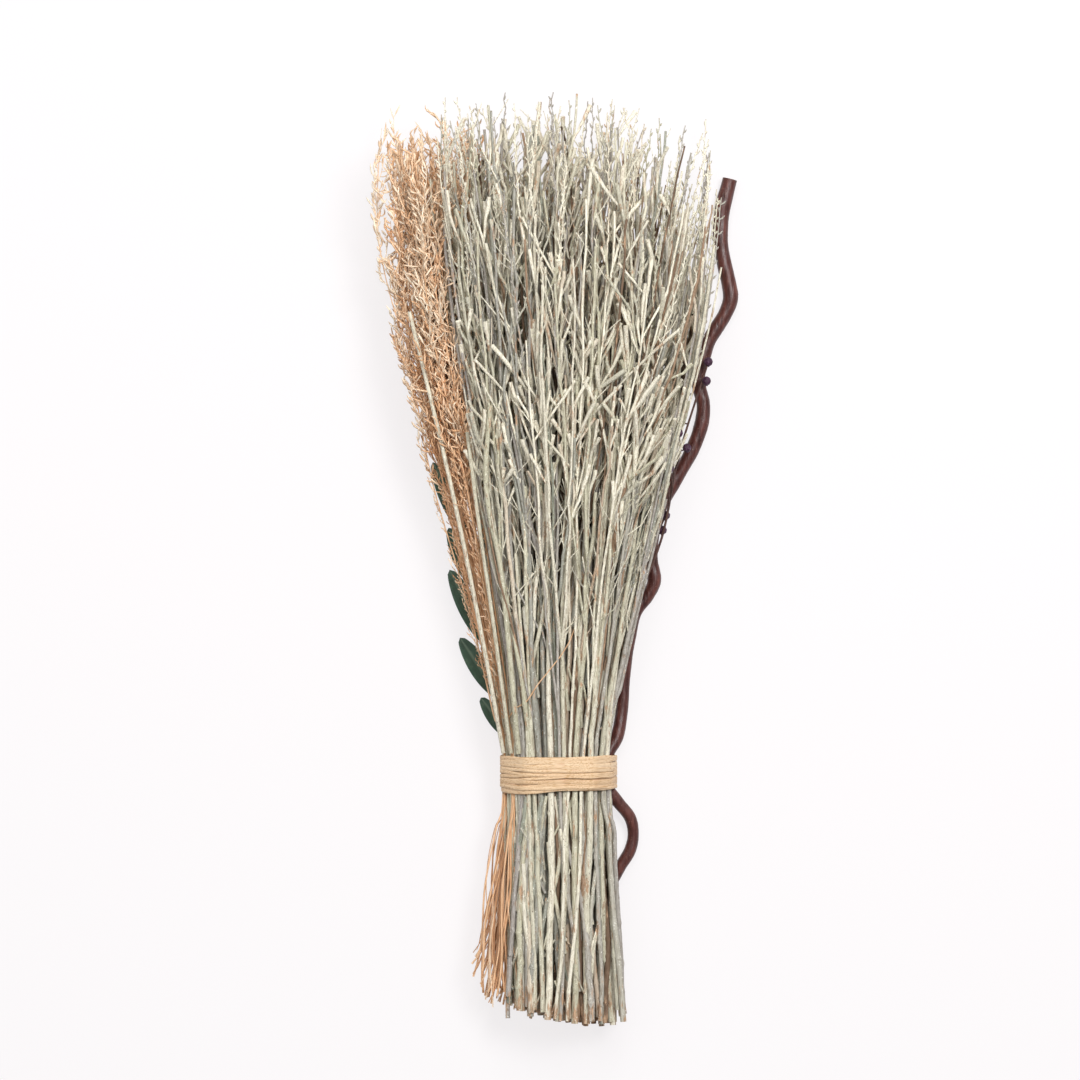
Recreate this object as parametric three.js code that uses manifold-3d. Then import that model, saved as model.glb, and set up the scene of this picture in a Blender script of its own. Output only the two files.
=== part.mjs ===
// A tied bundle of dried whitewashed twigs with a band of dried grass, a curly vine, two berry
// sprigs and a leafy stem, lying on its side. Millimetres, +Z up.
// While it is built, X runs across the bundle, Y from the lowest cut end to the tips and Z up
// from the surface. At the end the group is moved so that its origin is at the middle of its base.
import * as THREE from "three";
import { mergeVertices } from "three/addons/utils/BufferGeometryUtils.js";
import Module from "manifold-3d";

const wasm = await Module();
wasm.setup();

// Driving dimensions.
const bundleLength = 600;
const tieCentre = 165;
const tieHeight = 22;
const tieThickness = 1.8;
const tieSlack = 0.4;
const fanLevel = 500;
const twigRadius = 2.3;
const twigTipRadius = 1.2;
const branchTipRadius = 0.9;
const grassRadius = 1.1;
const plumeStart = 290;
const vineRadius = 4.2;
const vineTopRadius = 5;
const sprigRadius = 1;
const berryRadius = 2.75;
const leafStemRadius = 1.1;
const leafThickness = 0.8;
const leafWidth = 14;
const gap = 0.4;

// Widths of one lane, heights of one row and the middle of the bundle: at the cut ends, at the tie
// and where the fan settles at its widest.
const twigLane = { butt: 9, tie: 7.9, fan: 21.5 };
const grassLane = { butt: 11, tie: 4.5, fan: 25 };
const rowPitch = { butt: 8.2, tie: 7.8, fan: 15.5 };
const bundleMiddle = { butt: -4, tie: 0, fan: -8 };

// Rows of stems from the surface up, each laid out from the left: grasses, then twigs.
// The shift moves a row sideways by a share of a twig lane.
const rows = [
  { grasses: 1, twigs: 5, shift: 0 },
  { grasses: 2, twigs: 5, shift: -0.5 },
  { grasses: 2, twigs: 7, shift: 0 },
  { grasses: 2, twigs: 8, shift: 0 },
  { grasses: 1, twigs: 7, shift: 0 },
  { grasses: 0, twigs: 6, shift: 0.2 },
];
const widestRow = 3;
const vineRow = 1;

// How a stem uses the free room in its lane: its own wander, and its forks' and plume's reach.
const wander = 0.6;
const reach = 0.9;

// A fork leaves its stem at an angle and then follows it: its distance grows with this power.
const forkSweep = 0.4;

// The tips form a dome: they stop short of the bundle's length towards the two sides.
const domeDrop = { left: 16, right: 62 };
const tipVariation = 45;

// The cut ends form a slanted line: those on the left stop short of the lowest cut end.
const buttRise = 20;
const buttVariation = 3;

// How gently a stem bends away from the tie, and how sharply the fan stops widening.
const easeLength = 30;
const settling = 8;

const colours = {
  twig: 0xcfcab0,
  grass: 0xc6986b,
  vine: 0x5a2e24,
  sprig: 0x5b3b52,
  leafStem: 0x5f6a45,
  leaf: 0x2f4b38,
  tie: 0xdcbd8c,
};

const { lerp, smoothstep, degToRad } = THREE.MathUtils;

// A repeatable number from 0 to 1 for each seed.
function chance(seed) {
  const value = Math.sin(seed * 12.9898 + 4.1414) * 43758.5453;
  return value - Math.floor(value);
}

function eased(distance) {
  return Math.hypot(distance, easeLength) - easeLength;
}

// A size at y: it leaves its value at the tie gently and runs straight from there. Around the fan
// level it settles.
function spread(size, y) {
  const rise = y - tieCentre;
  if (rise > 0) {
    const share = eased(rise) / eased(fanLevel - tieCentre);
    return lerp(size.tie, size.fan, share / (1 + share ** settling) ** (1 / settling));
  }
  return lerp(size.tie, size.butt, eased(-rise) / eased(tieCentre));
}

function rowWidth(row, y) {
  return row.grasses * spread(grassLane, y) + row.twigs * spread(twigLane, y);
}

function rowLeft(row, y) {
  return spread(bundleMiddle, y) + row.shift * spread(twigLane, y) - rowWidth(row, y) / 2;
}

function rowRight(row, y) {
  return rowLeft(row, y) + rowWidth(row, y);
}

// Free room beside a stem of this radius in its lane, across and up.
function roomAcross(lane, radius, y) {
  return (spread(lane, y) - gap) / 2 - radius;
}

function roomUp(radius, y) {
  return (spread(rowPitch, y) - gap) / 2 - radius;
}

// Height of the lowest row's middle. It lies on the surface at both ends and on the tie's lower
// strands at the waist.
const lowestRow = {
  butt: twigRadius + wander * roomUp(twigRadius, 0),
  tie: tieThickness + tieSlack + twigRadius + wander * roomUp(twigRadius, tieCentre),
  fan: branchTipRadius + reach * roomUp(branchTipRadius, fanLevel),
};

function rowHeight(index, y) {
  return spread(lowestRow, y) + index * spread(rowPitch, y);
}

function rowFloor(index, y) {
  return rowHeight(index, y) - spread(rowPitch, y) / 2;
}

// Every lane of the bundle, with its middle line as a function of y.
function layLanes() {
  const lanes = [];
  rows.forEach((row, rowIndex) => {
    for (let place = 0; place < row.grasses + row.twigs; place += 1) {
      const isGrass = place < row.grasses;
      const grassesBefore = isGrass ? place + 0.5 : row.grasses;
      const twigsBefore = isGrass ? 0 : place - row.grasses + 0.5;
      lanes.push({
        isGrass,
        size: isGrass ? grassLane : twigLane,
        seed: 10 * rowIndex + place + 1,
        across: (y) =>
          rowLeft(row, y) + grassesBefore * spread(grassLane, y) + twigsBefore * spread(twigLane, y),
        up: (y) => rowHeight(rowIndex, y),
      });
    }
  });
  return lanes;
}

// A slow sideways wave from -1 to 1 along a stem.
function wave(seed, y) {
  const length = lerp(170, 330, chance(seed));
  return Math.sin(2 * Math.PI * (y / length + chance(seed + 0.5)));
}

// A stem's own line through its lane.
function stemPoint(lane, radius, y) {
  const across = wander * roomAcross(lane.size, radius, y) * wave(lane.seed, y);
  const up = wander * roomUp(radius, y) * wave(lane.seed + 100, y);
  return new THREE.Vector3(lane.across(y) + across, y, lane.up(y) + up);
}

function tipLevel(lane) {
  const halfFan = rowWidth(rows[widestRow], fanLevel) / 2;
  const side = (lane.across(fanLevel) - bundleMiddle.fan) / halfFan;
  return side > 0 ? bundleLength - domeDrop.right * side ** 3 : bundleLength - domeDrop.left * side ** 2;
}

function buttLevel(lane) {
  const right = rowRight(rows[widestRow], 0);
  const side = (right - lane.across(0)) / rowWidth(rows[widestRow], 0);
  return buttRise * side ** 2 + buttVariation * chance(lane.seed + 200);
}

// A closed rod with one ring of points at each station. line(station) is the ring's middle and
// size(station) the half-widths of its elliptical section.
function rod(line, sides, stations, size) {
  const last = stations.length - 1;
  const geometry = new THREE.CylinderGeometry(1, 1, 1, sides, last);
  const position = geometry.attributes.position;
  for (let i = 0; i < position.count; i += 1) {
    const ring = Math.round((position.getY(i) + 0.5) * last);
    const middle = line(stations[ring]);
    const after = line(stations[Math.min(last, ring + 1)]);
    const before = line(stations[Math.max(0, ring - 1)]);
    const ahead = after.sub(before).normalize();
    const right = new THREE.Vector3(ahead.y, -ahead.x, 0).normalize();
    const up = new THREE.Vector3().crossVectors(right, ahead);
    const { across, height } = size(stations[ring]);
    middle.addScaledVector(right, position.getX(i) * across);
    middle.addScaledVector(up, position.getZ(i) * height);
    position.setXYZ(i, middle.x, middle.y, middle.z);
  }
  return geometry;
}

// Stations in equal steps, and those of a stem that runs straight through the tie.
function evenStations(from, to, steps) {
  return Array.from({ length: steps + 1 }, (_, i) => lerp(from, to, i / steps));
}

function stemStations(butt, tip, steps) {
  return [butt, tieCentre - tieHeight / 2, ...evenStations(tieCentre + tieHeight / 2, tip, steps)];
}

// A round section whose radius changes evenly along the rod.
function taper(from, to, start, end) {
  return (station) => {
    const radius = lerp(from, to, (station - start) / (end - start));
    return { across: radius, height: radius };
  };
}

function toSolid(geometry) {
  geometry.deleteAttribute("normal");
  geometry.deleteAttribute("uv");
  const welded = mergeVertices(geometry, 1e-4);
  const mesh = new wasm.Mesh({
    numProp: 3,
    vertProperties: welded.attributes.position.array,
    triVerts: Uint32Array.from(welded.index.array),
  });
  return new wasm.Manifold(mesh);
}

// One closed geometry from several that overlap.
function joined(geometries) {
  const solid = geometries.map(toSolid).reduce((whole, piece) => whole.add(piece));
  const mesh = solid.getMesh();
  const geometry = new THREE.BufferGeometry();
  geometry.setAttribute("position", new THREE.BufferAttribute(mesh.vertProperties, 3));
  geometry.setIndex(new THREE.BufferAttribute(mesh.triVerts, 1));
  geometry.computeVertexNormals();
  return geometry;
}

const bundle = new THREE.Group();

function addMesh(name, geometry, colour, roughness) {
  const material = new THREE.MeshStandardMaterial({ color: colour, roughness, metalness: 0 });
  const mesh = new THREE.Mesh(geometry, material);
  mesh.name = name;
  bundle.add(mesh);
  return mesh;
}

// A twig: a tapered stem with two forks that spread to opposite corners of its lane.
function twigGeometry(lane, tip) {
  const butt = buttLevel(lane);
  const size = taper(twigRadius, twigTipRadius, butt, tip);
  const stem = (y) => stemPoint(lane, size(y).across, y);
  const pieces = [rod(stem, 6, stemStations(butt, tip, 6), size)];
  const turn = 2 * Math.PI * chance(lane.seed + 400);
  for (let fork = 0; fork < 2; fork += 1) {
    const pick = lane.seed + 500 + 50 * fork;
    const start = lerp(tieCentre + 60, fanLevel - 140, chance(pick));
    const end = lerp(start + 130, tip - 15, chance(pick + 0.3));
    const heading = turn + Math.PI * fork;
    const forkPoint = (y) => {
      const spreadShare = ((y - start) / (end - start)) ** forkSweep;
      const point = stem(y);
      const across = reach * roomAcross(lane.size, branchTipRadius, y) * Math.cos(heading);
      const up = reach * roomUp(branchTipRadius, y) * Math.sin(heading);
      point.x = lerp(point.x, lane.across(y) + across, spreadShare);
      point.z = lerp(point.z, lane.up(y) + up, spreadShare);
      return point;
    };
    const levels = [0, 0.08, 0.4, 1].map((share) => lerp(start, end, share));
    const forkSize = taper(0.8 * size(start).across, branchTipRadius, start, end);
    pieces.push(rod(forkPoint, 5, levels, forkSize));
  }
  return joined(pieces);
}

// A grass: a thin stalk that carries one long feathery plume, as a plain closed shape.
function grassGeometry(lane, tip) {
  const butt = buttLevel(lane);
  const start = plumeStart + 40 * chance(lane.seed + 300);
  const line = (y) => {
    const middle = new THREE.Vector3(lane.across(y), y, lane.up(y));
    return stemPoint(lane, grassRadius, y).lerp(middle, smoothstep(y, start - 60, start + 20));
  };
  const size = (y) => {
    const fullness = smoothstep(y, start, start + 110) * (1 - 0.75 * smoothstep(y, tip - 70, tip));
    const across = reach * roomAcross(lane.size, 0, y);
    const height = reach * roomUp(0, y);
    return { across: lerp(grassRadius, across, fullness), height: lerp(grassRadius, height, fullness) };
  };
  return rod(line, 6, stemStations(butt, tip, 10), size);
}

const lanes = layLanes();
const topLane = lanes[lanes.length - 3];
let twigCount = 0;
let grassCount = 0;
for (const lane of lanes) {
  if (lane.isGrass) {
    grassCount += 1;
    const tip = tipLevel(lane) - 0.5 * tipVariation * chance(lane.seed + 600);
    addMesh(`grass_plume_${grassCount}`, grassGeometry(lane, tip), colours.grass, 0.95);
  } else {
    twigCount += 1;
    const shortfall = lane === topLane ? 0 : tipVariation * chance(lane.seed + 600);
    const tip = lane === topLane ? bundleLength : tipLevel(lane) - shortfall;
    const name = `twig_${String(twigCount).padStart(2, "0")}`;
    addMesh(name, twigGeometry(lane, tip), colours.twig, 0.85);
  }
}

// The curly vine lies on the surface along the right side and passes inside the tie, under the
// row above it. Each point is its height above the tie's middle and its distance outside the
// widest row's right edge.
const vineRoute = [
  [-73, -2], [-63, 4], [-52, 11], [-42, 13.5], [-31, 12], [-20, 4], [-10, -3], [0, -4],
  [11, -2.5], [21, 2], [36, 3], [68, -0.5], [85, -1.5], [105, -0.5], [114, 4.5], [124, 7],
  [137, 2.5], [150, 0], [172, 0.5], [188, 6], [210, 13.5], [227, 16], [240, 14.5],
  [251, 9.5], [262, 7], [272, 8.5], [281, 10], [289, 13.5], [299, 18], [309, 20],
  [319, 17.5], [332, 13], [349, 9], [366, 9], [387, 13],
];
const vineRiseLength = 45;
const vineTieHeight = rowFloor(vineRow + 1, tieCentre) - vineRadius - gap;
const vineCurve = new THREE.CatmullRomCurve3(vineRoute.map(([rise, offset], index) => {
  const y = tieCentre + rise;
  const lift = smoothstep(vineRiseLength - Math.abs(rise), 0, vineRiseLength);
  const x = rowRight(rows[widestRow], y) + offset;
  const resting = lerp(vineRadius, vineTopRadius, index / (vineRoute.length - 1));
  return new THREE.Vector3(x, y, lerp(resting, vineTieHeight, lift));
}));
vineCurve.arcLengthDivisions = 800;
const vineGeometry = rod(
  (t) => vineCurve.getPointAt(t),
  8,
  evenStations(0, 1, 46),
  taper(0.9 * vineRadius, vineTopRadius, 0, 1),
);
addMesh("curly_vine", vineGeometry, colours.vine, 0.45);

// The berry sprigs pass the tie beside the lowest row and rise over the vine. Each point is its
// height above the tie's middle, its distance outside the lowest row's right edge and its height.
const tieLift = tieThickness + tieSlack + sprigRadius;
const sprigs = [
  {
    route: [[-77, 3.7, 2], [-12, 2.6, tieLift], [0, 2.4, tieLift], [12, 2.6, tieLift], [65, 7, 13],
      [125, 19.5, 14], [167, 33, 15]],
    berries: [[0.8, -1, 4.5], [0.86, -1, 5], [0.91, -1, 4.5], [0.955, 1, 3]],
  },
  {
    route: [[-83, 7.5, 2], [-12, 5.6, tieLift], [0, 5.4, tieLift], [12, 5.6, tieLift], [65, 11.5, 13],
      [105, 19, 17], [152, 32, 21], [205, 37, 17], [267, 49.5, 17]],
    berries: [[0.66, -1, 4.5], [0.78, -1, 5], [0.84, 1, 4.5], [0.89, -1, 5], [0.965, 1, 3.5]],
  },
];

function sprigCurve(route) {
  const points = route.map(([rise, offset, height]) => {
    const y = tieCentre + rise;
    return new THREE.Vector3(rowRight(rows[0], y) + offset, y, height);
  });
  return new THREE.CatmullRomCurve3(points);
}

// A berry sprig: a thin stem with short stalks, each carrying one round berry. Each berry is its
// place along the stem, the side it hangs on and how far out it sits.
function sprigGeometry(curve, berries) {
  const line = (t) => curve.getPointAt(t);
  const pieces = [rod(line, 5, evenStations(0, 1, 13), taper(sprigRadius, 0.7 * sprigRadius, 0, 1))];
  for (const [along, side, distance] of berries) {
    const root = curve.getPointAt(along);
    const berry = root.clone().add(new THREE.Vector3(side * distance, 2, 0.5));
    const stalk = (t) => root.clone().lerp(berry, t);
    pieces.push(rod(stalk, 5, [0, 1], taper(0.6 * sprigRadius, 0.6 * sprigRadius, 0, 1)));
    pieces.push(new THREE.SphereGeometry(berryRadius, 6, 5).translate(berry.x, berry.y, berry.z));
  }
  pieces.push(new THREE.SphereGeometry(berryRadius, 6, 5).translate(...curve.getPointAt(1).toArray()));
  return joined(pieces);
}

const sprigCurves = sprigs.map(({ route }) => sprigCurve(route));
sprigs.forEach(({ berries }, index) => {
  addMesh(`berry_sprig_${index + 1}`, sprigGeometry(sprigCurves[index], berries), colours.sprig, 0.6);
});

// The leafy stem lies on the surface along the lowest row's left edge and sways out above the tie.
const leafStemStart = 70;
const leafStemEnd = 352;
const leafStemSway = 7.5;
function leafStemPoint(y) {
  const sway = leafStemSway * smoothstep(y, 170, 250);
  const beside = rowLeft(rows[0], y) - gap - leafStemRadius - sway;
  const lift = smoothstep(vineRiseLength - Math.abs(y - tieCentre), 0, vineRiseLength);
  const tieHeightHere = tieThickness + tieSlack + leafStemRadius;
  return new THREE.Vector3(beside, y, lerp(leafStemRadius, tieHeightHere, lift));
}
const leafStemSize = taper(leafStemRadius, 0.6 * leafStemRadius, leafStemStart, leafStemEnd);
const leafStemStations = stemStations(leafStemStart, leafStemEnd, 16);
addMesh("leaf_stem", rod(leafStemPoint, 6, leafStemStations, leafStemSize), colours.leafStem, 0.8);

// Leaves grow from the stem's outer side: where each starts, its length, how far it turns out from
// the bundle's direction and how high it lies.
const leaves = [
  { start: 184, length: 36, turn: 37, height: 3.6 },
  { start: 208, length: 53, turn: 34, height: 1 },
  { start: 243, length: 60, turn: 27, height: 3.6 },
  { start: 279, length: 50, turn: 26, height: 1 },
  { start: 312, length: 61, turn: 26, height: 3.6 },
  { start: 345, length: 46, turn: 24, height: 1 },
];
const petioleWidth = 1.6;

// A flat oblong leaf in the XY plane, pointing along +Y from a narrow foot at the origin.
function leafGeometry(length) {
  const half = leafWidth / 2 * Math.min(1, length / 45);
  const foot = petioleWidth / 2;
  const shape = new THREE.Shape();
  shape.moveTo(-foot, 0);
  shape.lineTo(foot, 0);
  shape.lineTo(foot, 0.1 * length);
  shape.bezierCurveTo(half, 0.2 * length, 1.3 * half, 0.8 * length, 0, length);
  shape.bezierCurveTo(-1.3 * half, 0.8 * length, -half, 0.2 * length, -foot, 0.1 * length);
  const options = { depth: leafThickness, bevelEnabled: false, curveSegments: 7 };
  return new THREE.ExtrudeGeometry(shape, options);
}

leaves.forEach(({ start, length, turn, height }, index) => {
  const mesh = addMesh(`leaf_${index + 1}`, leafGeometry(length), colours.leaf, 0.6);
  const root = leafStemPoint(start);
  mesh.position.set(root.x - leafStemRadius - gap - petioleWidth / 2, root.y, height);
  mesh.rotation.z = degToRad(turn);
});

// The outline, at distance outside every stem, of the section that the tie holds.
function hull(points) {
  const sorted = [...points].sort((a, b) => a.x - b.x || a.y - b.y);
  const turnOf = (a, b, c) => (b.x - a.x) * (c.y - a.y) - (b.y - a.y) * (c.x - a.x);
  const chain = (list) => {
    const kept = [];
    for (const point of list) {
      while (kept.length > 1 && turnOf(kept[kept.length - 2], kept[kept.length - 1], point) <= 0) {
        kept.pop();
      }
      kept.push(point);
    }
    return kept.slice(0, -1);
  };
  return [...chain(sorted), ...chain(sorted.reverse())];
}

function tieOutline(distance) {
  const points = [];
  const addCircle = (middle, radius) => {
    for (let i = 0; i < 12; i += 1) {
      const angle = 2 * Math.PI * i / 12;
      const reachOut = radius + distance;
      points.push(new THREE.Vector2(middle.x + reachOut * Math.cos(angle), middle.z + reachOut * Math.sin(angle)));
    }
  };
  // A level section through a slanted round stem is wider than the stem.
  const addSlantedCircle = (curve, radius, y) => {
    const share = shareAtLevel(curve, y);
    addCircle(curve.getPointAt(share), radius / curve.getTangentAt(share).y);
  };
  for (const share of [-0.5, -0.25, 0, 0.25, 0.5]) {
    const y = tieCentre + share * tieHeight;
    for (const lane of lanes) {
      const radius = lane.isGrass ? grassRadius : twigRadius;
      addCircle(stemPoint(lane, radius, y), radius);
    }
    addCircle(leafStemPoint(y), leafStemRadius);
    addSlantedCircle(vineCurve, vineRadius, y);
    for (const curve of sprigCurves) {
      addSlantedCircle(curve, sprigRadius, y);
    }
  }
  return hull(points);
}

// The place along a rising curve that lies at level y, by halving.
function shareAtLevel(curve, y) {
  let low = 0;
  let high = 1;
  for (let i = 0; i < 30; i += 1) {
    const middle = (low + high) / 2;
    if (curve.getPointAt(middle).y < y) {
      low = middle;
    } else {
      high = middle;
    }
  }
  return low;
}

// The raffia tie, wound flat around the waist.
const tieShape = new THREE.Shape(tieOutline(tieSlack + tieThickness));
tieShape.holes.push(new THREE.Path(tieOutline(tieSlack)));
const tieGeometry = new THREE.ExtrudeGeometry(tieShape, { depth: tieHeight, bevelEnabled: false });
tieGeometry.rotateX(Math.PI / 2);
tieGeometry.translate(0, tieCentre + tieHeight / 2, 0);
addMesh("raffia_tie", tieGeometry, colours.tie, 0.8);

// The origin goes to the middle of the base.
bundle.updateMatrixWorld(true);
const box = new THREE.Box3().setFromObject(bundle, true);
const middle = box.getCenter(new THREE.Vector3());
bundle.position.set(-middle.x, -middle.y, -box.min.z);

export default bundle;
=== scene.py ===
"""A tied bundle of dried whitewashed twigs, seen from straight above.

The lanes, rows and routes repeat those of the CAD part, in millimetres in the bundle's own frame:
X across, Y from the lowest cut end to the tips, Z up from the surface. make_piece() carries every
finished piece into the shared frame, in metres.
"""
import math
import random

import bpy
import numpy as np
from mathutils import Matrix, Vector


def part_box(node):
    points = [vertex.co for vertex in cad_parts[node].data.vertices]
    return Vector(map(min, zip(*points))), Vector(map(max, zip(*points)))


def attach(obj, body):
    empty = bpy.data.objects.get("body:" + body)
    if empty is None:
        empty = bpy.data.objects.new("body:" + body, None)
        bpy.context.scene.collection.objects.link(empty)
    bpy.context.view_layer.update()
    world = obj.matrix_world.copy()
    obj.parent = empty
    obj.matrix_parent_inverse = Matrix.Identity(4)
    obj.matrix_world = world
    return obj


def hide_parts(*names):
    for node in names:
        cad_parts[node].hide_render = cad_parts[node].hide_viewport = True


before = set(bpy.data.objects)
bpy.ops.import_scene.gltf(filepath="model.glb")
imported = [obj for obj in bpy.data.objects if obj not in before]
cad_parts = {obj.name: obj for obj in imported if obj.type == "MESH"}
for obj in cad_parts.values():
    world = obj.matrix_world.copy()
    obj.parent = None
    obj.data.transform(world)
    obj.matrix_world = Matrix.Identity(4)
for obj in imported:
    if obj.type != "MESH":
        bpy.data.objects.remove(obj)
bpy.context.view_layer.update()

rng = random.Random(41)
FULL_TURN = 2 * math.pi

# -------------------------------- dimensions
BUNDLE_LENGTH = 600.0
TIE_CENTRE = 165.0
TIE_HEIGHT = 22.0
TIE_THICKNESS = 1.8
TIE_SLACK = 0.4
FAN_LEVEL = 500.0
TWIG_RADIUS = 2.3
TWIG_TIP_RADIUS = 1.2
BRANCH_TIP_RADIUS = 0.9
GRASS_RADIUS = 1.1
VINE_RADIUS = 4.2
VINE_TOP_RADIUS = 5.0
SPRIG_RADIUS = 1.0
BERRY_RADIUS = 2.75
LEAF_STEM_RADIUS = 1.1
LEAF_WIDTH = 14.0
PETIOLE_WIDTH = 1.6
GAP = 0.4
TWIG_LANE = {"butt": 9.0, "tie": 7.9, "fan": 21.5}
GRASS_LANE = {"butt": 11.0, "tie": 4.5, "fan": 25.0}
ROW_PITCH = {"butt": 8.2, "tie": 7.8, "fan": 15.5}
BUNDLE_MIDDLE = {"butt": -4.0, "tie": 0.0, "fan": -8.0}
ROWS = [(1, 5, 0.0), (2, 5, -0.5), (2, 7, 0.0), (2, 8, 0.0), (1, 7, 0.0), (0, 6, 0.2)]
WIDEST_ROW = 3
VINE_ROW = 1
WANDER = 0.6
REACH = 0.9
FORK_SWEEP = 0.4
DOME_DROP = {"left": 16.0, "right": 62.0}
TIP_VARIATION = 45.0
BUTT_RISE = 20.0
BUTT_VARIATION = 3.0
EASE_LENGTH = 30.0
SETTLING = 8

# How many there are of what only the visual model has.
THIN_TWIGS_WANTED = 165
THIN_TWIGS_PER_PIECE = 6
LOOSE_STICKS = 84
STICKS_BELOW_TIE = 52
LOOSE_STALKS = 50
FLAT_BLADES = 12
UNDER_STALKS = 34
STALKS_PER_PLUME = 6
RAFFIA_TURNS = 22

# Levels between which the parts of a twig grow out of it.
STUB_LEVELS = (320, 575)
TWIGLET_LEVELS = (250, 590)
WISP_LEVELS = (430, 530)
BRANCH_LEVELS = (186, 400)


# -------------------------------- lanes and stems
def chance(seed):
    value = math.sin(seed * 12.9898 + 4.1414) * 43758.5453
    return value - math.floor(value)


def lerp(a, b, t):
    return a + (b - a) * t


def xyz(x, y, z):
    """Points as rows of x, y, z."""
    return np.stack(np.broadcast_arrays(x, y, z), -1)


def smoothstep(x, low, high):
    t = np.clip((np.asarray(x, float) - low) / (high - low), 0, 1)
    return t * t * (3 - 2 * t)


def eased(distance):
    return np.hypot(distance, EASE_LENGTH) - EASE_LENGTH


def spread(size, y):
    """A size at y, between its values at the cut ends, at the tie and where the fan settles."""
    rise = np.asarray(y, float) - TIE_CENTRE
    share = eased(rise) / eased(FAN_LEVEL - TIE_CENTRE)
    above = lerp(size["tie"], size["fan"], share / (1 + share**SETTLING) ** (1 / SETTLING))
    below = lerp(size["tie"], size["butt"], eased(rise) / eased(TIE_CENTRE))
    return np.where(rise > 0, above, below)


def above_tie(y):
    return np.clip((y - TIE_CENTRE) / (FAN_LEVEL - TIE_CENTRE), 0, 1)


def below_tie(y):
    return np.clip((TIE_CENTRE - y) / TIE_CENTRE, 0, 1)


def row_width(row, y):
    return ROWS[row][0] * spread(GRASS_LANE, y) + ROWS[row][1] * spread(TWIG_LANE, y)


def row_left(row, y):
    return spread(BUNDLE_MIDDLE, y) + ROWS[row][2] * spread(TWIG_LANE, y) - row_width(row, y) / 2


def row_right(row, y):
    return row_left(row, y) + row_width(row, y)


def room_across(lane_size, radius, y):
    return (spread(lane_size, y) - GAP) / 2 - radius


def room_up(radius, y):
    return (spread(ROW_PITCH, y) - GAP) / 2 - radius


LOWEST_ROW = {
    "butt": TWIG_RADIUS + WANDER * room_up(TWIG_RADIUS, 0),
    "tie": TIE_THICKNESS + TIE_SLACK + TWIG_RADIUS + WANDER * room_up(TWIG_RADIUS, TIE_CENTRE),
    "fan": BRANCH_TIP_RADIUS + REACH * room_up(BRANCH_TIP_RADIUS, FAN_LEVEL),
}


def row_height(row, y):
    return spread(LOWEST_ROW, y) + row * spread(ROW_PITCH, y)


def place_across(row, place, y):
    """X of a place counted in lanes from the left of a row, grasses first."""
    grasses = min(place, ROWS[row][0])
    twigs = place - grasses
    return row_left(row, y) + grasses * spread(GRASS_LANE, y) + twigs * spread(TWIG_LANE, y)


class Lane:
    """The path that one CAD stem keeps to."""

    def __init__(self, row, place):
        self.row = row
        self.place = place
        self.is_grass = place < ROWS[row][0]
        self.size = GRASS_LANE if self.is_grass else TWIG_LANE
        self.seed = 10 * row + place + 1

    def across(self, y):
        return place_across(self.row, self.place + 0.5, y)

    def up(self, y):
        return row_height(self.row, y)


def wave(seed, y):
    length = lerp(170, 330, chance(seed))
    return np.sin(FULL_TURN * (np.asarray(y, float) / length + chance(seed + 0.5)))


def stem_points(lane, radius, y):
    """The middle line of the stem in a lane."""
    across = WANDER * room_across(lane.size, radius, y) * wave(lane.seed, y)
    up = WANDER * room_up(radius, y) * wave(lane.seed + 100, y)
    return xyz(lane.across(y) + across, y, lane.up(y) + up)


def dome_level(x):
    """How far up the tips reach at x."""
    half_fan = row_width(WIDEST_ROW, FAN_LEVEL) / 2
    side = (x - BUNDLE_MIDDLE["fan"]) / half_fan
    if side > 0:
        return BUNDLE_LENGTH - DOME_DROP["right"] * side**3
    return BUNDLE_LENGTH - DOME_DROP["left"] * side**2


def butt_level(x, seed):
    right = row_right(WIDEST_ROW, 0)
    side = (right - x) / row_width(WIDEST_ROW, 0)
    return float(BUTT_RISE * side**2 + BUTT_VARIATION * chance(seed + 200))


LANES = [Lane(row, place) for row, (g, t, _) in enumerate(ROWS) for place in range(g + t)]
TWIG_LANES = [lane for lane in LANES if not lane.is_grass]
GRASS_LANES = [lane for lane in LANES if lane.is_grass]
TOP_LANE = LANES[-3]


def lane_tip(lane):
    if lane is TOP_LANE:
        return BUNDLE_LENGTH
    share = 0.5 if lane.is_grass else 1
    return float(dome_level(lane.across(FAN_LEVEL)) - share * TIP_VARIATION * chance(lane.seed + 600))


# -------------------------------- routes
# Rise from the tie, and offset from the widest row's right edge.
VINE_ROUTE = [
    (-73, -2), (-63, 4), (-52, 11), (-42, 13.5), (-31, 12), (-20, 4), (-10, -3), (0, -4),
    (11, -2.5), (21, 2), (36, 3), (68, -0.5), (85, -1.5), (105, -0.5), (114, 4.5), (124, 7),
    (137, 2.5), (150, 0), (172, 0.5), (188, 6), (210, 13.5), (227, 16), (240, 14.5),
    (251, 9.5), (262, 7), (272, 8.5), (281, 10), (289, 13.5), (299, 18), (309, 20),
    (319, 17.5), (332, 13), (349, 9), (366, 9), (387, 13),
]
RISE_LENGTH = 45.0
VINE_TIE_HEIGHT = float(
    row_height(VINE_ROW + 1, TIE_CENTRE) - spread(ROW_PITCH, TIE_CENTRE) / 2 - VINE_RADIUS - GAP
)
TIE_LIFT = TIE_THICKNESS + TIE_SLACK + SPRIG_RADIUS
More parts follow.
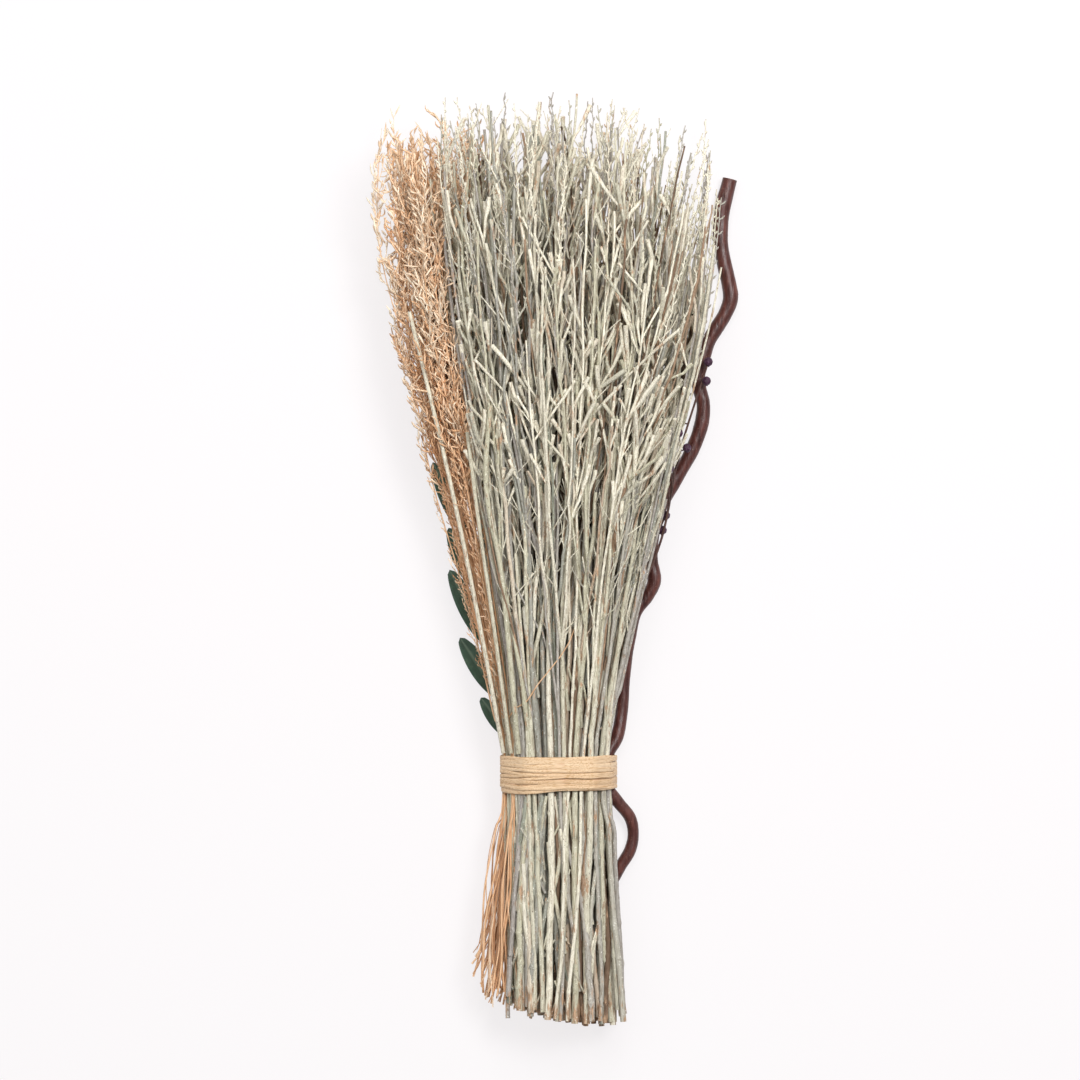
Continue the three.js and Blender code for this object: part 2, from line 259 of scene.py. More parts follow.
# Routes are rise from the tie, offset from the lowest row's right edge and height. A berry is its
# share of the way, its side and its distance; a cluster's berries lie at x, y, z.
SPRIGS = [
    {
        "route": [(-77, 3.7, 2), (-12, 2.6, TIE_LIFT), (0, 2.4, TIE_LIFT), (12, 2.6, TIE_LIFT),
                  (65, 7, 13), (125, 19.5, 14), (167, 33, 15)],
        "berries": [(0.8, -1, 4.5), (0.86, -1, 5), (0.91, -1, 4.5), (0.955, 1, 3)],
        "cluster": [],
    },
    {
        "route": [(-83, 7.5, 2), (-12, 5.6, TIE_LIFT), (0, 5.4, TIE_LIFT), (12, 5.6, TIE_LIFT),
                  (65, 11.5, 13), (105, 19, 17), (152, 32, 21), (205, 37, 17), (267, 49.5, 17)],
        "berries": [(0.66, -1, 4.5), (0.78, -1, 5), (0.84, 1, 4.5), (0.89, -1, 5), (0.965, 1, 3.5)],
        "cluster": [(72.5, 376, 46), (71, 369, 45), (73, 362, 43), (79, 385, 45), (69.5, 357, 44)],
    },
]
LEAF_STEM_START = 70.0
LEAF_STEM_END = 352.0
LEAF_STEM_SWAY = 7.5
# Each leaf's level on the stem, length, turn in degrees and height.
LEAVES = [
    (184, 36, 37, 3.6), (208, 53, 34, 1), (243, 60, 27, 3.6),
    (279, 50, 26, 1), (312, 61, 26, 3.6), (345, 46, 24, 1),
]


def smooth_route(points, count):
    """Points in equal steps along a centripetal Catmull-Rom curve through the given ones."""
    points = np.array(points, float)
    points = np.vstack([2 * points[0] - points[1], points, 2 * points[-1] - points[-2]])
    samples = []
    for i in range(1, len(points) - 2):
        p0, p1, p2, p3 = points[i - 1 : i + 3]
        k1 = np.linalg.norm(p1 - p0) ** 0.5
        k2 = k1 + np.linalg.norm(p2 - p1) ** 0.5
        k3 = k2 + np.linalg.norm(p3 - p2) ** 0.5
        t = np.linspace(k1, k2, 40, endpoint=False)[:, None]
        a1 = (k1 - t) / k1 * p0 + t / k1 * p1
        a2 = (k2 - t) / (k2 - k1) * p1 + (t - k1) / (k2 - k1) * p2
        a3 = (k3 - t) / (k3 - k2) * p2 + (t - k2) / (k3 - k2) * p3
        b1 = (k2 - t) / k2 * a1 + t / k2 * a2
        b2 = (k3 - t) / (k3 - k1) * a2 + (t - k1) / (k3 - k1) * a3
        samples.append((k2 - t) / (k2 - k1) * b1 + (t - k1) / (k2 - k1) * b2)
    samples = np.vstack([*samples, points[-2]])
    walked = np.concatenate([[0], np.cumsum(np.linalg.norm(np.diff(samples, axis=0), axis=1))])
    wanted = np.linspace(0, walked[-1], count)
    return np.stack([np.interp(wanted, walked, samples[:, axis]) for axis in range(3)], -1)


def vine_line(count):
    points = []
    for index, (rise, offset) in enumerate(VINE_ROUTE):
        lift = float(smoothstep(RISE_LENGTH - abs(rise), 0, RISE_LENGTH))
        y = TIE_CENTRE + rise
        resting = lerp(VINE_RADIUS, VINE_TOP_RADIUS, index / (len(VINE_ROUTE) - 1))
        x = float(row_right(WIDEST_ROW, y)) + offset
        points.append((x, y, lerp(resting, VINE_TIE_HEIGHT, lift)))
    return smooth_route(points, count)


def sprig_line(sprig, count):
    points = []
    for rise, offset, height in sprig["route"]:
        y = TIE_CENTRE + rise
        points.append((float(row_right(0, y)) + offset, y, height))
    return smooth_route(points, count)


def leaf_stem_points(y):
    y = np.asarray(y, float)
    beside = row_left(0, y) - GAP - LEAF_STEM_RADIUS - LEAF_STEM_SWAY * smoothstep(y, 170, 250)
    lift = smoothstep(RISE_LENGTH - np.abs(y - TIE_CENTRE), 0, RISE_LENGTH)
    at_tie = TIE_THICKNESS + TIE_SLACK + LEAF_STEM_RADIUS
    return xyz(beside, y, lerp(LEAF_STEM_RADIUS, at_tie, lift))


# -------------------------------- the tie's outline
def convex_hull(points):
    points = sorted(map(tuple, points))

    def chain(items):
        kept = []
        for x, z in items:
            while len(kept) > 1:
                (ax, az), (bx, bz) = kept[-2:]
                if (bx - ax) * (z - az) - (bz - az) * (x - ax) > 0:
                    break
                kept.pop()
            kept.append((x, z))
        return kept[:-1]

    return np.array(chain(points) + chain(points[::-1]))


def tie_circles():
    """Middle and radius of every stem that the tie holds, at five levels through it."""
    circles = []
    vine = vine_line(800)
    sprigs = [sprig_line(sprig, 400) for sprig in SPRIGS]
    for share in (-0.5, -0.25, 0, 0.25, 0.5):
        y = TIE_CENTRE + share * TIE_HEIGHT
        for lane in LANES:
            radius = GRASS_RADIUS if lane.is_grass else TWIG_RADIUS
            x, _, z = stem_points(lane, radius, y)
            circles.append((x, z, radius))
        x, _, z = leaf_stem_points(y)
        circles.append((x, z, LEAF_STEM_RADIUS))
        for line, radius in [(vine, VINE_RADIUS), *((sprig, SPRIG_RADIUS) for sprig in sprigs)]:
            i = int(np.argmin(np.abs(line[:, 1] - y)))
            step = line[min(i + 1, len(line) - 1)] - line[i - 1]
            circles.append((line[i, 0], line[i, 2], radius * np.linalg.norm(step) / step[1]))
    return np.array(circles)


TIE_CIRCLES = tie_circles()


def tie_outline(distance):
    angles = np.arange(12) / 12 * FULL_TURN
    reach = TIE_CIRCLES[:, 2:] + distance
    x = TIE_CIRCLES[:, :1] + reach * np.cos(angles)
    z = TIE_CIRCLES[:, 1:2] + reach * np.sin(angles)
    return convex_hull(np.stack([x.ravel(), z.ravel()], -1))


# The bundle's frame is carried into the shared frame by where the tie's outline lies in each.
outline = tie_outline(TIE_SLACK + TIE_THICKNESS)
tie_low, tie_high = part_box("raffia_tie")
SHIFT = np.array([
    tie_low[0] * 1000 - outline[:, 0].min(),
    (tie_low[1] + tie_high[1]) * 500 - TIE_CENTRE,
    tie_low[2] * 1000 - outline[:, 1].min(),
])


# -------------------------------- mesh building
class Strands:
    """Collects round or flat strands, with a tone for each, into one mesh."""

    def __init__(self):
        self.points = []
        self.tones = []
        self.quads = []
        self.painted_ends = []
        self.raw_ends = []
        self.count = 0

    def add_points(self, points, tone):
        first = self.count
        self.points.append(points)
        self.tones.append(np.full(len(points), tone))
        self.count += len(points)
        return first

    def add_rings(self, rings, tone):
        """Joins rings of points, each ring a closed loop, into a skin."""
        sides = rings.shape[1]
        first = self.add_points(rings.reshape(-1, 3), tone)
        i = np.arange(len(rings) - 1)[:, None] * sides
        j = np.arange(sides)[None]
        k = (j + 1) % sides
        corners = np.stack([i + j, i + k, i + sides + k, i + sides + j], -1)
        self.quads.append(corners.reshape(-1, 4) + first)

    def add_end(self, ring, middle, tone, flip, raw):
        """Closes an end, with bare wood where it is raw."""
        sides = len(ring)
        first = self.add_points(np.vstack([ring, middle]), tone)
        j = np.arange(sides)
        k = (j + 1) % sides
        triangles = np.stack([j, k, np.full(sides, sides)], -1) + first
        (self.raw_ends if raw else self.painted_ends).append(triangles[:, ::-1] if flip else triangles)

    def strand(self, line, radii, sides, tone, flat=1.0, twist=0.0, ends=True, raw_start=False,
               lumps=0.0):
        """A strand along line, with a radius for each point; flat squashes it."""
        line = np.asarray(line, float)
        radii = np.broadcast_to(np.asarray(radii, float), len(line))
        ahead = np.gradient(line, axis=0)
        ahead /= np.linalg.norm(ahead, axis=1, keepdims=True) + 1e-12
        side = np.cross(ahead, (0.0, 0.0, 1.0))
        size = np.linalg.norm(side, axis=1, keepdims=True)
        side = np.where(size > 0.05, side / np.maximum(size, 1e-9), (1.0, 0.0, 0.0))
        up = np.cross(side, ahead)
        angles = np.arange(sides) / sides * FULL_TURN
        wide, high = np.cos(angles), np.sin(angles) * flat
        across = wide * math.cos(twist) - high * math.sin(twist)
        rise = wide * math.sin(twist) + high * math.cos(twist)
        reach = np.repeat(radii[:, None], sides, 1)
        if lumps:
            reach = reach * (1 + np.random.default_rng(self.count).normal(0, lumps, reach.shape))
        rings = line[:, None] + (reach * across)[..., None] * side[:, None]
        rings = rings + (reach * rise)[..., None] * up[:, None]
        self.add_rings(rings, tone)
        if ends:
            self.add_end(rings[0], line[0], tone, True, raw_start)
            self.add_end(rings[-1], line[-1], tone, False, False)

    def piece(self, name, materials, slot, *nodes):
        return make_piece(name, np.vstack(self.points), self.quads, self.painted_ends,
                          self.raw_ends, np.concatenate(self.tones), materials, slot, *nodes)


def make_piece(name, points, quads, painted_ends, raw_ends, tones, materials, slot, *nodes):
    """A mesh object in the shared frame, in metres, from points in the bundle's frame, in mm."""
    cut_level = np.interp(points[:, 0], (-50, 45), (19, 0))
    worn_length = 26
    wear = np.clip(1 - (points[:, 1] - cut_level) / worn_length, 0, 1)
    points = (points + SHIFT) / 1000
    quads = np.vstack(quads)
    ends = np.vstack([np.zeros((0, 3), int), *painted_ends, *raw_ends])
    raw_count = sum(len(part) for part in raw_ends)
    mesh = bpy.data.meshes.new(name)
    mesh.vertices.add(len(points))
    mesh.vertices.foreach_set("co", points.astype(np.float32).ravel())
    mesh.loops.add(quads.size + ends.size)
    corners = np.concatenate([quads.ravel(), ends.ravel()])
    mesh.loops.foreach_set("vertex_index", corners.astype(np.int32))
    mesh.polygons.add(len(quads) + len(ends))
    starts = np.concatenate([np.arange(len(quads)) * 4, quads.size + np.arange(len(ends)) * 3])
    mesh.polygons.foreach_set("loop_start", starts.astype(np.int32))
    face = np.arange(len(quads) + len(ends))
    is_raw = (face >= len(face) - raw_count).astype(np.int32)
    mesh.polygons.foreach_set("material_index", is_raw if len(materials) > 1 else is_raw * 0)
    mesh.polygons.foreach_set("use_smooth", face < len(quads))
    mesh.update(calc_edges=True)
    for attribute, values in (("tone", tones), ("wear", wear)):
        data = mesh.attributes.new(attribute, "FLOAT", "POINT").data
        data.foreach_set("value", values.astype(np.float32))
    for material in materials:
        mesh.materials.append(MATERIALS[material])
    piece = bpy.data.objects.new(name, mesh)
    bpy.context.scene.collection.objects.link(piece)
    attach(piece, "root")
    if nodes:
        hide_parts(*nodes)
    return piece


# -------------------------------- materials
class Nodes:
    """A short hand for building a node material around its Principled shader."""

    def __init__(self, name, roughness, specular=0.4):
        self.material = bpy.data.materials.new(name)
        self.material.use_nodes = True
        self.tree = self.material.node_tree
        self.shader = self.tree.nodes["Principled BSDF"]
        self.shader.inputs["Roughness"].default_value = roughness
        self.shader.inputs["Specular IOR Level"].default_value = specular

    def new(self, kind, **settings):
        node = self.tree.nodes.new(kind)
        for name, value in settings.items():
            setattr(node, name, value)
        return node

    def link(self, output, target):
        self.tree.links.new(output, target)
        return target

    def tone(self, name="tone"):
        return self.new("ShaderNodeAttribute", attribute_name=name).outputs["Fac"]

    def noise(self, scale, detail=3.0, roughness=0.55, place=None):
        """Noise whose features measure about 1 / scale metres along each axis."""
        place = place or self.new("ShaderNodeTexCoord").outputs["Object"]
        mapping = self.new("ShaderNodeMapping")
        mapping.inputs["Scale"].default_value = scale
        self.link(place, mapping.inputs["Vector"])
        noise = self.new("ShaderNodeTexNoise")
        noise.inputs["Scale"].default_value = 1
        noise.inputs["Detail"].default_value = detail
        noise.inputs["Roughness"].default_value = roughness
        self.link(mapping.outputs["Vector"], noise.inputs["Vector"])
        return noise.outputs["Fac"]

    def ramp(self, value, *stops):
        ramp = self.new("ShaderNodeValToRGB")
        elements = ramp.color_ramp.elements
        while len(elements) < len(stops):
            elements.new(1)
        for element, (position, colour) in zip(elements, stops):
            element.position = position
            element.color = (*colour, 1)
        self.link(value, ramp.inputs["Fac"])
        return ramp.outputs["Color"]

    def mix(self, share, first, second, blend="MIX"):
        node = self.new("ShaderNodeMix", data_type="RGBA", blend_type=blend)
        colour_a, colour_b = node.inputs[6], node.inputs[7]
        for value, socket in ((share, node.inputs[0]), (first, colour_a), (second, colour_b)):
            if isinstance(value, (int, float)):
                socket.default_value = value
            elif isinstance(value, tuple):
                socket.default_value = (*value, 1)
            else:
                self.link(value, socket)
        return node.outputs[2]

    def math(self, operation, first, second):
        node = self.new("ShaderNodeMath", operation=operation)
        self.link(first, node.inputs[0])
        self.link(second, node.inputs[1])
        return node.outputs[0]

    def range(self, value, low, high, to_low=0.0, to_high=1.0):
        node = self.new("ShaderNodeMapRange")
        for name, number in zip(("From Min", "From Max", "To Min", "To Max"), (low, high, to_low, to_high)):
            node.inputs[name].default_value = number
        self.link(value, node.inputs["Value"])
        return node.outputs["Result"]

    def streaked(self, noise, low, high, colour, shade):
        """A colour, multiplied by a shade where the noise is low."""
        shaded = self.mix(1.0, colour, shade, "MULTIPLY")
        return self.mix(self.range(noise, low, high), shaded, colour)

    def colour(self, value):
        self.link(value, self.shader.inputs["Base Color"])

    def bump(self, height, distance, strength=1.0):
        node = self.new("ShaderNodeBump")
        node.inputs["Distance"].default_value = distance
        node.inputs["Strength"].default_value = strength
        self.link(height, node.inputs["Height"])
        self.link(node.outputs["Normal"], self.shader.inputs["Normal"])


def whitewashed_twig():
    """Chalky wash from sage to ivory over tan bark, worn through in patches and streaks; its highest tones
    are painted shade, dark brown, for stems deep in the bundle.
    """
    n = Nodes("whitewashed_twig", 0.8, 0.3)
    # Tones from about 0.88 up run to dark brown: painted shade for stems deep inside the bundle.
    wash = n.ramp(n.tone(), (0.0, (0.35, 0.37, 0.30)), (0.14, (0.44, 0.41, 0.38)),
                  (0.3, (0.52, 0.50, 0.43)), (0.45, (0.58, 0.56, 0.42)), (0.6, (0.79, 0.75, 0.62)),
                  (0.82, (0.93, 0.89, 0.74)), (0.91, (0.40, 0.27, 0.18)), (1.0, (0.09, 0.055, 0.035)))
    streaks = n.noise((2000, 110, 2000), detail=4, roughness=0.65)
    streaked = n.streaked(streaks, 0.36, 0.54, wash, (0.55, 0.50, 0.44))
    bark = n.ramp(streaks, (0.35, (0.20, 0.12, 0.07)), (0.6, (0.62, 0.41, 0.26)))
    patches = n.noise((240, 60, 240), detail=5, roughness=0.7)
    worn = n.math("ADD", patches, n.range(n.tone("wear"), 0, 1, 0, 0.13))
    patched = n.mix(n.range(worn, 0.57, 0.65), streaked, bark)
    specks = n.noise((1300, 600, 1300), detail=2)
    speckled = n.mix(n.range(specks, 0.65, 0.71), patched, (0.16, 0.12, 0.08))
    # No chalk flecks on the stems whose tone is painted shade.
    unshaded_wash = n.range(n.tone(), 0.80, 0.88, 1, 0)
    chalk = n.math("MULTIPLY", n.range(specks, 0.34, 0.30), unshaded_wash)
    n.colour(n.mix(chalk, speckled, (0.93, 0.91, 0.84)))
    n.bump(n.math("ADD", streaks, patches), 0.00022)
    return n.material


def dried_grass():
    n = Nodes("dried_grass", 0.75, 0.3)
    straw = n.ramp(n.tone(), (0.0, (0.50, 0.25, 0.12)), (0.3, (0.80, 0.50, 0.29)),
                   (0.65, (0.93, 0.72, 0.52)), (1.0, (0.96, 0.86, 0.70)))
    fibre = n.noise((900, 120, 900), detail=3)
    n.colour(n.streaked(fibre, 0.35, 0.55, straw, (0.72, 0.66, 0.6)))
    n.bump(fibre, 0.0002)
    return n.material


def vine_bark():
    n = Nodes("vine_bark", 0.42, 0.5)
    grain = n.noise((420, 70, 420), detail=4)
    bark = n.ramp(grain, (0.3, (0.040, 0.011, 0.009)), (0.55, (0.092, 0.026, 0.020)),
                  (0.75, (0.16, 0.050, 0.036)))
    specks = n.range(n.noise((1400, 1400, 1400), detail=1), 0.70, 0.74)
    n.colour(n.mix(specks, bark, (0.30, 0.17, 0.12)))
    n.link(n.range(grain, 0.3, 0.7, 0.30, 0.48), n.shader.inputs["Roughness"])
    n.bump(grain, 0.0006)
    return n.material


def leaf_skin():
    n = Nodes("leaf_skin", 0.5, 0.4)
    mottle = n.noise((160, 160, 160), detail=4)
    green = n.ramp(mottle, (0.3, (0.018, 0.055, 0.032)), (0.6, (0.035, 0.095, 0.060)),
                   (0.85, (0.10, 0.17, 0.11)))
    n.colour(n.mix(n.tone(), green, (0.20, 0.29, 0.21)))
    n.bump(n.noise((900, 900, 900)), 0.0003)
    return n.material


def raffia():
    n = Nodes("raffia", 0.6, 0.35)
    straw = n.ramp(n.tone(), (0.0, (0.60, 0.40, 0.23)), (0.4, (0.74, 0.53, 0.33)),
                   (1.0, (0.84, 0.64, 0.43)))
    around = n.new("ShaderNodeAttribute", attribute_name="wrap").outputs["Vector"]
    fibre = n.noise((70, 1900, 1900), detail=4, place=around)
    fibred = n.streaked(fibre, 0.36, 0.52, straw, (0.74, 0.62, 0.48))
    blush = n.range(n.noise((60, 500, 60), detail=3, place=around), 0.62, 0.74, 0, 0.55)
    n.colour(n.mix(blush, fibred, (0.62, 0.30, 0.20)))
    n.bump(fibre, 0.0002)
    return n.material


def grained(name, roughness, specular, scale, bump, *stops):
    """A material whose colour and relief both follow one noise."""
    n = Nodes(name, roughness, specular)
    grain = n.noise(scale)
    n.colour(n.ramp(grain, *stops))
    if bump:
        n.bump(grain, bump)
    return n.material


GRAINED = [
    ("cut_wood", 0.8, 0.2, (1800, 1800, 1800), 0.0002,
     (0.3, (0.50, 0.32, 0.17)), (0.7, (0.78, 0.60, 0.40))),
    ("vine_wood", 0.75, 0.3, (900, 900, 900), 0.0, (0.3, (0.10, 0.04, 0.03)), (0.7, (0.28, 0.14, 0.09))),
    ("berry_skin", 0.5, 0.4, (700, 700, 700), 0.0006,
     (0.3, (0.028, 0.010, 0.022)), (0.6, (0.075, 0.025, 0.060)), (0.8, (0.20, 0.12, 0.18))),
    ("sprig_bark", 0.7, 0.3, (900, 120, 900), 0.0003,
     (0.3, (0.05, 0.02, 0.02)), (0.7, (0.16, 0.09, 0.07))),
]
MATERIALS = {look[0]: grained(*look) for look in GRAINED}
for make in (whitewashed_twig, dried_grass, vine_bark, leaf_skin, raffia):
    MATERIALS[make.__name__] = make()
TWIG_MATERIALS = ["whitewashed_twig", "cut_wood"]


# -------------------------------- growing twigs
def unit(vector):
    return vector / np.linalg.norm(vector)


def pick(low, high):
    return rng.uniform(low, high)


def some_tone(*tones):
    return rng.choice(tones) + pick(-0.06, 0.06)


def inward_normals(outline):
    edge = np.roll(outline, -1, axis=0) - outline
    return np.stack([-edge[:, 1], edge[:, 0]], -1) / np.linalg.norm(edge, axis=1, keepdims=True)


TIE_HULL = tie_outline(0.1)


def row_edge(edge, line):
    """An edge of the bundle, at the height of each point of a line."""
    y = line[:, 1]
    row = np.clip((line[:, 2] - row_height(0, y)) / spread(ROW_PITCH, y), 0, len(ROWS) - 1.001)
    edges = np.stack([edge(number, y) for number in range(len(ROWS))])
    below = row.astype(int)
    index = np.arange(len(y))
    return lerp(edges[below, index], edges[below + 1, index], row - below)


def pressed(values, limit, give, side=1):
    """Values, with what lies beyond a limit on one side drawn in to a share of its excess."""
    return np.where(side * (values - limit) > 0, limit + give * (values - limit), values)


def smoothed(values, reach):
    width = 2 * reach + 1
    return np.convolve(np.pad(values, reach, "edge"), np.ones(width) / width, "valid")


def twig_left(row, y):
    return row_left(row, y) + ROWS[row][0] * spread(GRASS_LANE, y) - 0.12 * spread(TWIG_LANE, y)


def keep_together(line, radii):
    """Presses a line that strays from the bundle back alongside it, above the surface below."""
    line = line.copy()
    y = line[:, 1]
    line[:, 2] = pressed(line[:, 2], row_height(len(ROWS) - 0.4, y), 0.2)
    fan = smoothstep(y, TIE_CENTRE + 40, FAN_LEVEL - 60)
    widest = row_right(WIDEST_ROW, y) + 4 * fan
    right = lerp(row_edge(row_right, line), widest, 0.8 * fan) - radii
    left = row_edge(twig_left, line) + radii
    line[:, 0] = pressed(line[:, 0], right, 0.2)
    line[:, 0] = pressed(line[:, 0], left, 0.3, -1)
    return on_surface(through_tie(line, radii), radii)


def through_tie(line, radii):
    """Presses a line inwards where it would pass outside the tie's loop."""
    line = line.copy()
    held = 1 - smoothstep(np.abs(line[:, 1] - TIE_CENTRE), 13, 36)
    if held.any():
        for (x, z), (across, up) in zip(TIE_HULL, inward_normals(TIE_HULL)):
            short = radii - ((line[:, 0] - x) * across + (line[:, 2] - z) * up)
            push = np.maximum(short, 0) * held
            line[:, 0] += push * across
            line[:, 2] += push * up
    return line


def on_surface(line, radii):
    line = line.copy()
    line[:, 2] = np.maximum(line[:, 2], radii + 0.1 - SHIFT[2])
    return line


def surface_height(x, y):
    """Height of the top of the bundle at a place."""
    rows = [row for row in range(len(ROWS)) if row_left(row, y) <= x <= row_right(row, y)]
    return float(row_height(max(rows, default=0), y)) + TWIG_RADIUS


def walked(line):
    return np.concatenate([[0], np.cumsum(np.linalg.norm(np.diff(line, axis=0), axis=1))])


def resampled(line, along, wanted):
    return np.stack([np.interp(wanted, along, line[:, axis]) for axis in range(3)], -1)


def branch_line(root, ahead, around, opening, length, bend, count=10):
    """A line that leaves root at an angle and turns back towards its parent's direction."""
    side = np.array([math.cos(around), 0.0, math.sin(around)])
    side = unit(side - ahead * side.dot(ahead))
    s = np.linspace(0, length, count)
    lateral = math.tan(opening) * s * (1 - bend * s / length)
    return root + np.outer(s, ahead) + np.outer(lateral, side)


def places_on(line, count, low, high):
    """Places on a stem between two levels, each with the stem's direction there."""
    for _ in range(count):
        y = pick(low, high)
        i = min(max(int(np.searchsorted(line[:, 1], y)), 1), len(line) - 2)
        yield i, unit(line[i + 1] - line[i - 1])


class Twig:
    """One twig: its main stem, with the branches, stubs and twiglets that grow from it."""

    def __init__(self, strands, tone):
        self.strands = strands
        self.tone = tone

    def draw(self, line, radii, sides, step=5.0, kink=1.0, raw_start=False, keep=keep_together):
        """A stem that turns and swells at its joints, more so in the fan than in the tie."""
        along = walked(line)
        joints = [0.0]
        while joints[-1] < along[-1]:
            joints.append(joints[-1] + pick(11, 30))
        levels = set(np.linspace(0, along[-1], max(3, int(along[-1] / step) + 1)))
        levels.update(joint + shift for joint in joints[1:-1] for shift in (-1.8, 0, 1.8))
        fine = np.array(sorted(level for level in levels if 0 <= level <= along[-1]))
        drawn = resampled(line, along, fine)
        size = np.interp(fine, along, np.broadcast_to(radii, len(along)))
        away = drawn[:, 1] - TIE_CENTRE
        free = kink * (0.18 + 1.1 * smoothstep(away, 15, 200) + 0.75 * smoothstep(-away, 12, 60))
        for axis in (0, 2):
            turns = [pick(-1, 1) for _ in joints]
            turns[0] = 0
            drawn[:, axis] += free * np.interp(fine, joints, turns)
        for joint in joints[1:-1]:
            size = size * (1 + pick(0.05, 0.28) * np.exp(-(((fine - joint) / 1.6) ** 2)))
        drawn = keep(drawn, size)
        tone = min(1.0, max(0.0, self.tone + pick(-0.05, 0.05)))
        self.strands.strand(drawn, size, sides, tone, twist=pick(0, 3), lumps=0.03, raw_start=raw_start)
        return drawn, size

    def stubs(self, line, size, count):
        """Short side shoots, cut off square and often thicker at the cut."""
        low, high = STUB_LEVELS[0], min(STUB_LEVELS[1], line[-1][1] - 5)
        if high <= low:
            return
        for i, ahead in places_on(line, count, low, high):
            length = min(pick(10, 44), dome_level(line[i][0]) - line[i][1] - pick(-4, 40))
            if length < 8:
                continue
            around = rng.choice([0, math.pi]) + pick(-1.3, 1.3)
            opening = math.radians(pick(6, 24) if rng.random() < 0.6 else pick(22, 46))
            path = branch_line(line[i], ahead, around, opening, length, pick(-0.35, 0.5), 8)
            base = min(size[i], pick(0.5, 0.85))
            uneven = np.array([1, 1, 0.96, 1.02, 1.0, 1.06, 1.0, 0.97])
            radii = np.linspace(base, pick(0.85, 1.75), 8) * uneven
            path = keep_together(path + np.array([[pick(-0.3, 0.3), 0, 0] for _ in range(8)]), radii)
            tone = some_tone(0.4, 0.58, 0.66, 0.74, 0.79, 0.82)
            self.strands.strand(path, radii, 7, tone, twist=pick(0, 3), lumps=0.06)

    def twiglets(self, line, size, count):
        """Hair-thin shoots."""
        low, high = TWIGLET_LEVELS[0], min(TWIGLET_LEVELS[1], line[-1][1] - 3)
        if high <= low:
            return
        for i, ahead in places_on(line, count, low, high):
            length = min(pick(9, 32), dome_level(line[i][0]) + pick(-14, 8) - line[i][1])
            if length < 5:
                continue
            path = branch_line(line[i], ahead, pick(0, FULL_TURN), math.radians(pick(12, 48)), length,
                               pick(-0.2, 0.5), 6)
            start = min(0.8 * size[i], pick(0.34, 0.62))
            radii = np.linspace(start, start * pick(0.45, 0.8), 6)
            path = keep_together(path, radii)
            self.strands.strand(path, radii, 5, some_tone(0.3, 0.5, 0.62, 0.72, 0.8))

    def wisps(self, line, size, count):
        """Thin ends with small buds that reach the top of the fan."""
        for i, ahead in places_on(line, count, WISP_LEVELS[0], min(WISP_LEVELS[1], line[-1][1] - 6)):
            length = dome_level(line[i][0]) - pick(-5, 62) - line[i][1]
            if length < 25:
                continue
            steps = int(length / 5) + 2
            path = branch_line(line[i], ahead, pick(0, FULL_TURN), math.radians(pick(5, 20)), length,
                               pick(0.2, 0.7), steps)
            path[1:] += np.array([[pick(-0.8, 0.8), 0, pick(-0.8, 0.8)] for _ in range(steps - 1)])
            radii = np.linspace(min(0.7, 0.8 * size[i]), pick(0.3, 0.42), steps)
            path = keep_together(path, radii)
            tone = some_tone(0.2, 0.4, 0.6, 0.7, 0.8)
            self.strands.strand(path, radii, 5, tone)
            for j in range(2, steps - 1):
                bud = branch_line(path[j], ahead, math.pi * j + pick(-0.6, 0.6), math.radians(pick(25, 50)),
                                  pick(1.8, 3.6), 0.3, 4)
                self.strands.strand(bud, [0.4, 0.62, 0.5, 0.2], 4, tone, ends=False)

    def fork(self, line, size, count):
        """Long branches that run on beside the stem."""
        low, high = BRANCH_LEVELS[0], min(BRANCH_LEVELS[1], line[-1][1] - 30)
        for i, ahead in places_on(line, count, low, high):
            length = min(pick(90, 260), dome_level(line[i][0]) - line[i][1] - pick(5, 90))
            if length < 30:
                continue
            around = rng.choice([0, math.pi]) + pick(-1.2, 1.2)
            opening = math.radians(pick(4, 14))
            path = branch_line(line[i], ahead, around, opening, length, pick(0.2, 0.6), 14)
            radii = np.linspace(min(size[i] * 0.85, pick(0.7, 1.2)), pick(0.55, 0.9), 14)
            branch, branch_size = self.draw(path, radii, 7, 7)
            self.stubs(branch, branch_size, 2)
            self.twiglets(branch, branch_size, 3)


def fork_like_cad(lane, tip, fork, size_at):
    """The line and radii of one of the two forks that the CAD twig has."""
    choice = lane.seed + 500 + 50 * fork
    start = lerp(TIE_CENTRE + 60, FAN_LEVEL - 140, chance(choice))
    end = lerp(start + 130, tip - 15, chance(choice + 0.3))
    heading = FULL_TURN * chance(lane.seed + 400) + math.pi * fork
    y = np.linspace(start, end, 24)
    share = ((y - start) / (end - start)) ** FORK_SWEEP
    points = stem_points(lane, size_at(y), y)
    across = lane.across(y) + REACH * room_across(lane.size, BRANCH_TIP_RADIUS, y) * math.cos(heading)
    up = lane.up(y) + REACH * room_up(BRANCH_TIP_RADIUS, y) * math.sin(heading)
    points[:, 0] = lerp(points[:, 0], across, share)
    points[:, 2] = lerp(points[:, 2], up, share)
    radii = np.linspace(0.8 * float(size_at(start)), BRANCH_TIP_RADIUS, len(y))
    return points, radii


